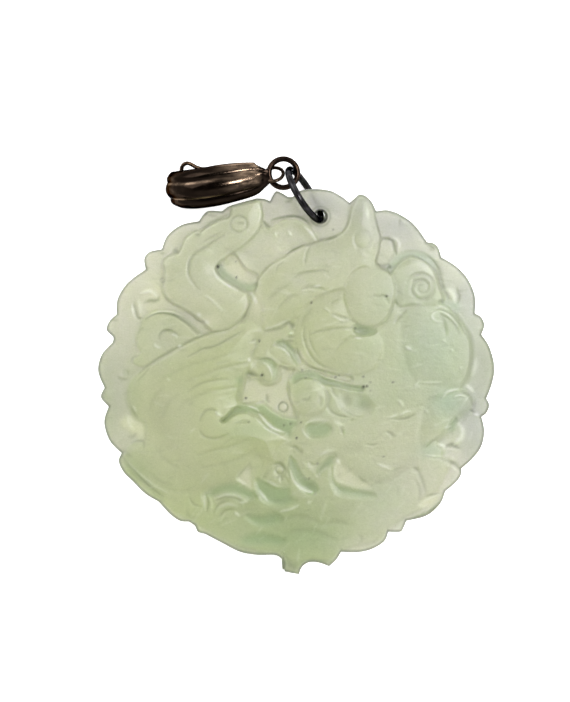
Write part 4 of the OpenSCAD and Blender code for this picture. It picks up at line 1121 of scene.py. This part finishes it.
def jade_mesh(carving):
    """The stone: carved face, rounded rim, undercut back with its flat."""
    n = FACE_GRID
    half = n // 2
    across = np.arange(-half, half + 1)
    i, j = np.meshgrid(across, across, indexing="ij")
    k = np.maximum(np.abs(i), np.abs(j)).astype(float)
    safe = np.maximum(k, 1)
    bearing = np.select(
        [k == 0, i == k, j == k, i == -k],
        [0.0 * k, 45 * j / safe, 90 - 45 * i / safe, 180 - 45 * j / safe],
        270 + 45 * i / safe,
    )
    bearing = np.radians(bearing)
    f = k / half
    soft = soft_reach(bearing)
    to_outline = (soft - EDGE_ROUND - DISC_R) * f**OUTLINE_POWER
    r = f * (DISC_R + to_outline + (rim_reach(bearing) - soft) * f**SCALLOP_POWER)
    x, y = r * np.cos(bearing), r * np.sin(bearing)
    z = RIM_TOP + np.where(k < half, carving.sample(carving.height, x, y), 0.0)
    face = np.stack([x, y, z], -1).reshape(-1, 3)
    side = n + 1
    a = (np.arange(n)[:, None] * side + np.arange(n)[None, :]).reshape(-1)
    faces = np.stack([a, a + side, a + side + 1, a + 1], 1).tolist()

    ring_n = 4 * n
    m = np.arange(ring_n)
    s = (m + half) % ring_n
    part, step = s // n, s % n
    bi = np.select([part == 0, part == 1, part == 2], [half + 0 * m, half - step, -half + 0 * m], step - half)
    bj = np.select([part == 0, part == 1, part == 2], [step - half, half + 0 * m, half - step], -half + 0 * m)
    border = (bi + half) * side + bj + half
    angle = 2 * pi * m / ring_n
    reach = rim_reach(angle)
    rings = []
    for level, way, turns in ((RIM_TOP, -1, (45, 90)), (RIM_LIFT, 1, (90, 45, 0))):
        for t in np.radians(turns):
            rings.append((reach - EDGE_ROUND * (1 - sin(t)), level + way * EDGE_ROUND * (1 - cos(t))))
    low, high = (FLAT_R + share * SHOULDER_W for share in SHOULDER_RUN)
    for r in np.linspace(high, low, SHOULDER_RINGS):
        rings.append((r + 0 * m, RIM_LIFT * smooth_step(r, low, high) + 0 * m))
    points = [face]
    base = len(face)
    above = border
    for radius, height in rings:
        points.append(np.stack([radius * np.cos(angle), radius * np.sin(angle), height + 0.0 * angle], 1))
        below = base + m
        faces += np.stack([above, below, np.roll(below, -1), np.roll(above, -1)], 1).tolist()
        above = below
        base += ring_n
    points.append(np.array([[0.0, 0.0, 0.0]]))
    faces += [(above[q], base, above[(q + 1) % ring_n]) for q in range(ring_n)]
    return np.concatenate(points), faces


def drill(obj):
    """Cuts the hanging hole: bevelled, and narrower at the back but for the side where the ring leaves."""
    past = 1.0
    out = radians(JUMP_BEARING)
    r = HOLE_D / 2
    length, width, shift, aside = (share * r for share in HOLE_MOUTH)
    # Columns: half length along the ring, half width, shift outwards, shift sideways, height
    profile = [
        (length + past, width + past, shift, aside, RIM_LIFT - past),
        (length, width, shift, aside, RIM_LIFT + HOLE_BEVEL),
        (r, r, 0.0, 0.0, RIM_TOP - HOLE_BEVEL),
        (r + HOLE_BEVEL + past, r + HOLE_BEVEL + past, 0.0, 0.0, RIM_TOP + past),
    ]
    sides = 64
    angle = np.linspace(0, 2 * pi, sides, endpoint=False)
    points = []
    for length, width, shift, aside, z in profile:
        u, v = shift + length * np.cos(angle), aside + width * np.sin(angle)
        x = HOLE_AT[0] + u * cos(out) - v * sin(out)
        y = HOLE_AT[1] + u * sin(out) + v * cos(out)
        points.append(np.stack([x, y, z + 0 * angle], 1))
    cutter = mesh_object("hole_cutter", np.concatenate(points), capped_faces(len(profile), sides))
    modifier = obj.modifiers.new("hole", "BOOLEAN")
    modifier.operation = "DIFFERENCE"
    modifier.solver = "EXACT"
    modifier.object = cutter
    bpy.context.view_layer.update()
    cut = bpy.data.meshes.new_from_object(obj.evaluated_get(bpy.context.evaluated_depsgraph_get()))
    obj.modifiers.clear()
    obj.data = cut
    bpy.data.objects.remove(cutter)


def stone_colour(points, carving):
    """Colour of the stone at its points: thickness, tints, the lines of the carving as painted shade and
    painted highlights, painted shade along the outline and in the hole, and specks.
    """
    x, y, z = points.T
    px, py = DISC_PX[0] + x / PHOTO_MM, DISC_PX[1] - y / PHOTO_MM
    on_face = smooth_step(z, *FACE_FROM)
    colour = np.tile(srgb(PALETTE["body"]), (len(x), 1))

    def blend(share, name):
        nonlocal colour
        share = np.clip(share, 0.0, 1.0)[:, None]
        colour = colour * (1 - share) + srgb(PALETTE[name]) * share

    thick = smooth_step(carving.sample(carving.height, x, y), 0.0, THICK_AT)
    blend((1.0 - thick) * (THIN_SHARE + THIN_MORE * smooth_step(np.hypot(x, y), *THIN_RADII)), "rim")
    for x0, y0, rx, ry, strength, name in TINTS:
        blend(strength * np.exp(-(((px - x0) / rx) ** 2 + ((py - y0) / ry) ** 2)), name)
    for name, layer in carving.layers.items():
        blend(carving.sample(layer, x, y) * LAYERS[name] * on_face, name)
    # Painted shade of lines, pits and walls, then painted highlights of crests and edges
    blend(carving.sample(carving.dark, x, y) * on_face * LINE_SHARE, "line")
    blend(carving.sample(carving.painted_highlight, x, y) * on_face, "painted_highlight")
    # Painted shade along the rim's outline
    blend((1.0 - smooth_step(carving.sample(carving.inner, x, y), *OUTLINE_FADE)) * OUTLINE_SHARE, "edge")
    # Painted shade inside the hole and in a ring round it
    past_hole = np.hypot(x - HOLE_AT[0], y - HOLE_AT[1]) - HOLE_D / 2
    blend(1.0 - smooth_step(past_hole, *HOLE_DARK), "speck_and_hole_shade")
    ring_at, ring_w, ring_share = HOLE_RING
    blend(ring_share * bell(past_hole - ring_at, ring_w), "line")
    for x0, y0, r, darkness in SPECKS:
        blend(on_face * smooth_step(-np.hypot(px - x0, py - y0), -r, -r * SPECK_CORE) * darkness, "speck_and_hole_shade")
    return colour


def set_colour(obj, name, colour):
    """Stores a colour for each point of an object."""
    layer = obj.data.color_attributes.new(name, "FLOAT_COLOR", "POINT")
    rows = np.concatenate([colour, np.ones((len(colour), 1))], 1).astype(np.float32)
    layer.data.foreach_set("color", rows.ravel())


def vertex_mm(obj):
    """Points of an object in millimetres."""
    points = np.empty(len(obj.data.vertices) * 3, np.float32)
    obj.data.vertices.foreach_get("co", points)
    return points.reshape(-1, 3).astype(float) / MM


class Nodes:
    """Short way to write a material's nodes."""

    def __init__(self, name):
        self.material = bpy.data.materials.new(name)
        self.material.use_nodes = True
        self.tree = self.material.node_tree
        self.shader = self.tree.nodes["Principled BSDF"]

    def add(self, kind, inputs=None, **settings):
        node = self.tree.nodes.new(kind)
        for key, value in settings.items():
            setattr(node, key, value)
        for key, value in (inputs or {}).items():
            self.set(node, key, value)
        return node

    def set(self, node, key, value):
        socket = node.inputs[key]
        if isinstance(value, bpy.types.NodeSocket):
            self.tree.links.new(value, socket)
        elif isinstance(value, bpy.types.Node):
            self.tree.links.new(value.outputs[0], socket)
        else:
            socket.default_value = value

    def noise(self, scale, detail, rough, stretch=(1.0, 1.0, 1.0), turn=0.0):
        where = self.add("ShaderNodeTexCoord").outputs["Object"]
        at = self.add("ShaderNodeMapping", {"Vector": where, "Rotation": (0.0, 0.0, turn), "Scale": stretch})
        inputs = {"Vector": at.outputs[0], "Scale": scale, "Detail": detail, "Roughness": rough}
        return self.add("ShaderNodeTexNoise", inputs).outputs[0]

    def distance_to_half(self, value):
        apart = self.add("ShaderNodeMath", {0: value, 1: 0.5}, operation="SUBTRACT")
        return self.add("ShaderNodeMath", {0: apart.outputs[0]}, operation="ABSOLUTE").outputs[0]

    def shade(self, inputs):
        """Sets sockets of the shader itself."""
        for key, value in inputs.items():
            self.set(self.shader, key, value)

    def mix(self, share, a, b, blend="MIX"):
        """Mix of two colours, whose sockets on this node are numbers 6 and 7."""
        inputs = {0: share, 6: a, 7: b}
        return self.add("ShaderNodeMix", inputs, data_type="RGBA", blend_type=blend).outputs[2]

    def tinted(self, colour, share, tint, blend="MULTIPLY"):
        """The colour, a share of it changed by a tint."""
        return self.mix(share, colour, self.mix(1.0, colour, (*tint, 1.0), blend))

    def ramp(self, value, low, high, low_out=0.0, high_out=1.0):
        inputs = {"Value": value, "From Min": low, "From Max": high, "To Min": low_out, "To Max": high_out}
        return self.add("ShaderNodeMapRange", inputs).outputs[0]

    def bump(self, height, distance, strength):
        return self.add("ShaderNodeBump", {"Height": height, "Distance": distance, "Strength": strength})


def jade_material():
    """Polished translucent jade: the stone's colour, cloudy variation, and light that passes through."""
    m = Nodes("jade")
    stone = m.add("ShaderNodeVertexColor", layer_name="stone").outputs["Color"]
    clouds = m.noise(scale=170.0, detail=3.0, rough=0.5)
    colour = m.tinted(stone, m.ramp(clouds, 0.35, 0.65, high_out=0.35), (0.93, 0.96, 0.86))
    haze = m.noise(scale=4500.0, detail=3.0, rough=0.7)
    colour = m.tinted(colour, m.ramp(haze, 0.3, 0.7, high_out=0.75), (0.80, 0.83, 0.75))
    for scale, stretch, width, share, tint, blend in STONE_MARKS:
        apart = m.distance_to_half(m.noise(scale, detail=3.0, rough=0.6, stretch=stretch))
        colour = m.tinted(colour, m.ramp(apart, 0.0, width, low_out=share, high_out=0.0), tint, blend)
    grain = m.noise(scale=1400.0, detail=5.0, rough=0.65)
    m.shade({
        "Base Color": colour,
        "Roughness": m.ramp(grain, 0.3, 0.7, low_out=0.31, high_out=0.36),
        "IOR": 1.6,
        "Specular IOR Level": 0.25,
        "Transmission Weight": 0.45,
        "Subsurface Weight": 1.0,
        "Subsurface Radius": (0.9, 1.0, 0.7),
        "Subsurface Scale": 0.003,
        "Normal": m.bump(m.noise(scale=900.0, detail=5.0, rough=0.65), distance=0.00008, strength=0.5),
    })
    return m.material


def jade():
    carving = Carving()
    stone = mesh_object("jade_stone", *jade_mesh(carving))
    drill(stone)
    stone.data.shade_smooth()
    set_colour(stone, "stone", stone_colour(vertex_mm(stone), carving))
    stone.data.materials.clear()
    stone.data.materials.append(jade_material())
    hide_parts("jade_disc")
    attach(stone, "pendant")


def unit(v):
    return v / np.maximum(np.linalg.norm(v, axis=-1, keepdims=True), 1e-9)


def wire_ring(radius, wire, around=160, sides=32):
    """A ring of round wire, flat on the XY plane."""
    a, s = np.meshgrid(np.arange(around) * 2 * pi / around, np.arange(sides) * 2 * pi / sides, indexing="ij")
    r = radius + wire / 2 * np.cos(s)
    points = np.stack([r * np.cos(a), r * np.sin(a), wire / 2 * np.sin(s)], -1).reshape(-1, 3)
    faces = grid_faces(around + 1, sides) % (around * sides)
    return points, faces.tolist()


def rod(line, radius, sides=24):
    """A round rod along a line, closed at both ends."""
    line = np.asarray(line, float)
    ahead = unit(np.gradient(line, axis=0))
    side = unit(np.cross(ahead[0], (0.0, 0.0, 1.0)))
    a = np.arange(sides)[:, None] * 2 * pi / sides
    points = []
    for at, along in zip(line, ahead):
        side = unit(side - along * (side @ along))
        points.append(at + radius * (side * np.cos(a) + np.cross(along, side) * np.sin(a)))
    return np.concatenate(points), capped_faces(len(line), sides)


def barrel():
    """The hinge's tube along Y, with softened edges."""
    inner, outer, half, soft = PIN_D / 2 + PIN_GAP, BARREL_D / 2, BARREL_L / 2, BARREL_SOFT
    nick = 0.3 * soft
    # Columns: radius, place along Y
    profile = [
        (inner + soft, -half), (outer - soft, -half), (outer - nick, nick - half), (outer, soft - half),
        (outer, half - soft), (outer - nick, half - nick), (outer - soft, half), (inner + soft, half),
        (inner, half - soft), (inner, soft - half),
    ]
    sides = 48
    a = np.arange(sides) * 2 * pi / sides
    points = [np.stack([r * np.sin(a), y + 0 * a, r * np.cos(a)], 1) for r, y in profile]
    faces = grid_faces(len(profile) + 1, sides) % (len(profile) * sides)
    return np.concatenate(points) + (-HINGE_BACK, 0.0, HINGE_Z), faces.tolist()


def lug():
    """The block that joins shell, hinge and eye, with its corners cut."""
    back, half, cut = -HINGE_BACK - BARREL_D / 4, LUG_W / 2, LUG_CUT
    corner = [(half - cut, -half), (half, cut - half), (half, half - cut), (half - cut, half),
              (cut - half, half), (-half, half - cut), (-half, cut - half), (cut - half, -half)]
    depth = LUG_FRONT - back
    mid = (LUG_FRONT + back) / 2
    # Columns: height, share of the full size
    rows = [(HINGE_Z, 1.0), (LUG_TOP - cut, 1.0), (LUG_TOP, 1.0 - 2 * cut)]
    points = [[(mid + x / LUG_W * depth * share, y * share, z) for x, y in corner] for z, share in rows]
    return np.concatenate(points), capped_faces(len(rows), len(corner))


def flute(t):
    """Rise of the three flutes across the shell, from 0 in the grooves to 1 on the middle crest."""
    u = np.abs(t)
    middle = np.cos(pi / 2 * np.minimum(u / GROOVE_AT, 1.0)) ** FLUTE_POWER
    outer = OUTER_FLUTE * np.sin(pi * np.clip((u - GROOVE_AT) / (1 - GROOVE_AT), 0.0, 1.0))
    return np.where(u < GROOVE_AT, middle, outer)


def shell():
    """The bail's fluted shell with rounded edges, and how worn it is at each point, with painted reflection
    in its stripes and rubbed side.
    """
    line = curve(SHELL_SECTIONS, steps=8)
    x = -line[:, 0] / 100 * BAIL_L
    z = line[:, 1] / 100 * np.where(line[:, 1] > 0, BAIL_FRONT, BAIL_BACK)
    out = unit(np.stack([np.gradient(z), -np.gradient(x)], 1))
    narrow, depth = line[:, 2:3] / 100, line[:, 3:4] / 100
    half = narrow * BAIL_W / 2
    side = GROOVE_AT + (1 - GROOVE_AT) * np.sin(np.linspace(0, pi / 2, SIDE_POINTS))
    middle = np.linspace(-GROOVE_AT, GROOVE_AT, MIDDLE_POINTS)[1:-1]
    t = np.concatenate([-side[::-1], middle, side])[None, :]
    crown = -BAIL_CROWN * (narrow * t) ** 2
    outer = crown + FLUTE_H * depth * narrow * (flute(t) - 0.5)
    wall = BAIL_WALL * (TIP_WALL + (1 - TIP_WALL) * narrow) * (1 - (1 - EDGE_WALL) * t**2)
    inner = crown - FLUTE_H / 2 * narrow - wall
    past = np.clip((np.abs(t) - EDGE_FROM) / (1 - EDGE_FROM), 0.0, 1.0)
    edge = (1.0 - np.sqrt(1.0 - past**2)) / 2
    rise = np.concatenate([outer + (inner - outer) * edge, (inner + (outer - inner) * edge)[:, -2:0:-1]], 1)
    ts = np.concatenate([t, t[:, -2:0:-1]], 1)
    points = np.stack([x[:, None] + out[:, :1] * rise, half * ts, z[:, None] + out[:, 1:] * rise], -1)
    rows, columns = rise.shape
    faces = grid_faces(rows, columns)[:, ::-1].tolist()
    across = t.shape[1]
    for row, turn in ((0, 1), (rows - 1, -1)):
        for k in range(across - 1):
            a, b = k, k + 1
            c, d = (columns - b) % columns if b < across - 1 else b, (columns - a) % columns
            loop = [row * columns + q for q in dict.fromkeys((a, b, c, d))]
            faces.append(tuple(loop[::turn]))
    along = line[:, :1] / 100
    # Stripes beside the middle crest and the rubbed side: wear and painted reflection both
    stripe = bell(np.abs(ts) - STRIPE_AT, STRIPE_W) * smooth_step(along, *STRIPE_RUN)
    rubbed_and_reflection = smooth_step(along, *SIDE_START) * (1.0 - smooth_step(along, *SIDE_STOP))
    worn_and_reflection = FLUTE_WEAR * flute(ts) * depth + STRIPE_WEAR_AND_REFLECTION * stripe
    worn_and_reflection += CROWN_WEAR * smooth_step(along, *CROWN_RUN) + SIDE_WEAR_AND_REFLECTION * rubbed_and_reflection * smooth_step(ts, *SIDE_ACROSS)
    worn_and_reflection[:, across:] = 0.0
    return points.reshape(-1, 3), faces, worn_and_reflection.reshape(-1)


def gate_line():
    """Middle of the gate's wire, from one end in the barrel round to the other."""
    stations = np.array(GATE_STATIONS, float) / 100
    half = curve(np.stack([
        -HINGE_BACK + (HINGE_BACK - GATE_END) * stations[:, 0],
        (GATE_WAIST_W + (GATE_HEAD_W - GATE_WAIST_W) * stations[:, 2]) / 2,
        HINGE_Z + (GATE_WIRE / 2 - BAIL_BACK - HINGE_Z) * stations[:, 1],
    ], 1), steps=5)
    start = np.array([[-HINGE_BACK, BARREL_L / 2 + BARREL_GAP, HINGE_Z]])
    first = np.concatenate([start, half])
    return np.concatenate([first, first[::-1] * (1, -1, 1)])


def joined(parts):
    """Points and faces of several closed meshes as one."""
    points, faces, base = [], [], 0
    for some, some_faces in parts:
        points.append(some)
        faces += [tuple(base + i for i in f) for f in some_faces]
        base += len(some)
    return np.concatenate(points), faces


def metal_material(name):
    """Patinated metal: a dark skin, worn bright in patches and where the piece is rubbed; on the bail part of
    that brightness is painted reflection.
    """
    dark, worn_and_reflection, rough, grain = METALS[name]
    m = Nodes(name)
    rubbed_and_reflection = m.add("ShaderNodeVertexColor", layer_name="wear_and_reflection").outputs["Color"]
    streaks = m.noise(grain, detail=5.0, rough=0.62, stretch=(0.35, 1.0, 1.0), turn=radians(-BAIL_HEADING))
    patches = m.ramp(streaks, 0.40, 0.66, low_out=0.15)
    share = m.add("ShaderNodeMath", {0: rubbed_and_reflection, 1: patches}, operation="MULTIPLY")
    spots = m.noise(grain * SPOT_SCALE, detail=5.0, rough=0.6)
    m.shade({
        "Base Color": m.mix(share, (*dark, 1.0), (*worn_and_reflection, 1.0)),
        "Metallic": 1.0,
        "Specular Tint": METAL_TINT,
        "Roughness": m.ramp(spots, 0.35, 0.65, low_out=rough, high_out=rough + SPOT_ROUGH),
        "Normal": m.bump(spots, distance=0.00004, strength=0.35),
    })
    return m.material


def metal_piece(name, metal, body, mesh, wear_and_reflection, place):
    """A metal piece in place of a node. Its wear, with the bail's painted reflection, is one number, or one
    for each point.
    """
    points, faces = mesh
    piece = mesh_object(name + "_piece", placed(points, *place), faces)
    piece.data.set_sharp_from_angle(angle=radians(SHARP_ANGLE))
    set_colour(piece, "wear_and_reflection", np.broadcast_to(np.reshape(wear_and_reflection, (-1, 1)), (len(points), 3)))
    piece.data.materials.append(metal_material(metal))
    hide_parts(name)
    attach(piece, body)


def rings():
    jump, link = wire_ring(JUMP_R, JUMP_WIRE), wire_ring(LINK_R, LINK_WIRE)
    place = (90 - JUMP_LEAN, JUMP_BEARING, JUMP_AT)
    metal_piece("jump_ring", "dark_steel", "pendant", jump, JUMP_WEAR, place)
    metal_piece("link_ring", "brown_bronze", "pendant", link, LINK_WEAR, (0.0, 0.0, LINK_AT))


def bail():
    points, faces, worn_and_reflection = shell()
    eye, eye_faces = wire_ring(EYE_R, EYE_WIRE, around=96, sides=20)
    eye = placed(eye, EYE_TILT, 0.0, (EYE_FAR - EYE_R, 0.0, 0.0))
    body = joined([(points, faces), (eye, eye_faces), lug(), barrel()])
    wear_and_reflection = np.concatenate([worn_and_reflection, np.full(len(body[0]) - len(worn_and_reflection), FITTING_WEAR)])
    place = (BAIL_ROLL, BAIL_HEADING, BAIL_AT)
    metal_piece("bail_shell", "bail_bronze", "pendant", body, wear_and_reflection, place)

    ends = [(-HINGE_BACK, PIN_INNER, HINGE_Z), (-HINGE_BACK, BARREL_L / 2 + 2 * BARREL_GAP, HINGE_Z)]
    pins = [rod(np.multiply(ends, (1, side, 1)), PIN_D / 2) for side in (-1, 1)]
    gate = joined([rod(gate_line(), GATE_WIRE / 2), *pins])
    metal_piece("bail_gate", "gate_bronze", "gate", gate, GATE_WEAR, place)


def camera():
    """Straight down on the disc, at the photograph's framing."""
    data = bpy.data.cameras.new("camera")
    data.sensor_fit = "VERTICAL"
    data.sensor_height = 36.0
    data.lens = 100.0
    data.clip_start = 0.01
    distance = PHOTO_H * PHOTO_MM * data.lens / data.sensor_height
    obj = bpy.data.objects.new("camera", data)
    x = (PHOTO_W / 2 - DISC_PX[0]) * PHOTO_MM
    y = (DISC_PX[1] - PHOTO_H / 2) * PHOTO_MM
    obj.location = (x * MM, y * MM, (RIM_LIFT + RIM_T / 2 + distance) * MM)
    bpy.context.scene.collection.objects.link(obj)
    bpy.context.scene.camera = obj


def floor():
    """White table that glows a little, as a light table does, in millimetres."""
    m = Nodes("floor")
    m.shade({
        "Base Color": (0.95, 0.95, 0.95, 1.0),
        "Roughness": 0.9,
        "Emission Color": (1.0, 1.0, 1.0, 1.0),
        "Emission Strength": 0.7,
    })
    half = 1500.0
    low = -0.03
    corners = [(-half, -half, low), (half, -half, low), (half, half, low), (-half, half, low)]
    plane = mesh_object("floor", corners, [(0, 1, 2, 3)])
    plane.data.materials.append(m.material)


def lights():
    for name, (place, size, power) in LIGHTS.items():
        data = bpy.data.lights.new(name, "AREA")
        data.size = size
        data.energy = power
        obj = bpy.data.objects.new(name, data)
        obj.location = place
        obj.rotation_euler = (-obj.location).to_track_quat("-Z", "Y").to_euler()
        bpy.context.scene.collection.objects.link(obj)
    world = bpy.data.worlds.new("studio")
    world.use_nodes = True
    tree = world.node_tree
    tree.nodes["Background"].inputs["Color"].default_value = DOME_COLOUR
    split = tree.nodes.new("ShaderNodeSeparateXYZ")
    tree.links.new(tree.nodes.new("ShaderNodeTexCoord").outputs["Generated"], split.inputs[0])
    dome = tree.nodes.new("ShaderNodeMapRange")
    dome.interpolation_type = "SMOOTHSTEP"
    for key, value in DOME.items():
        dome.inputs[key].default_value = value
    tree.links.new(split.outputs["Z"], dome.inputs["Value"])
    tree.links.new(dome.outputs[0], tree.nodes["Background"].inputs["Strength"])
    bpy.context.scene.world = world
    view = bpy.context.scene.view_settings
    view.view_transform = "Standard"
    view.look = "None"


camera()
floor()
lights()
jade()
rings()
bail()
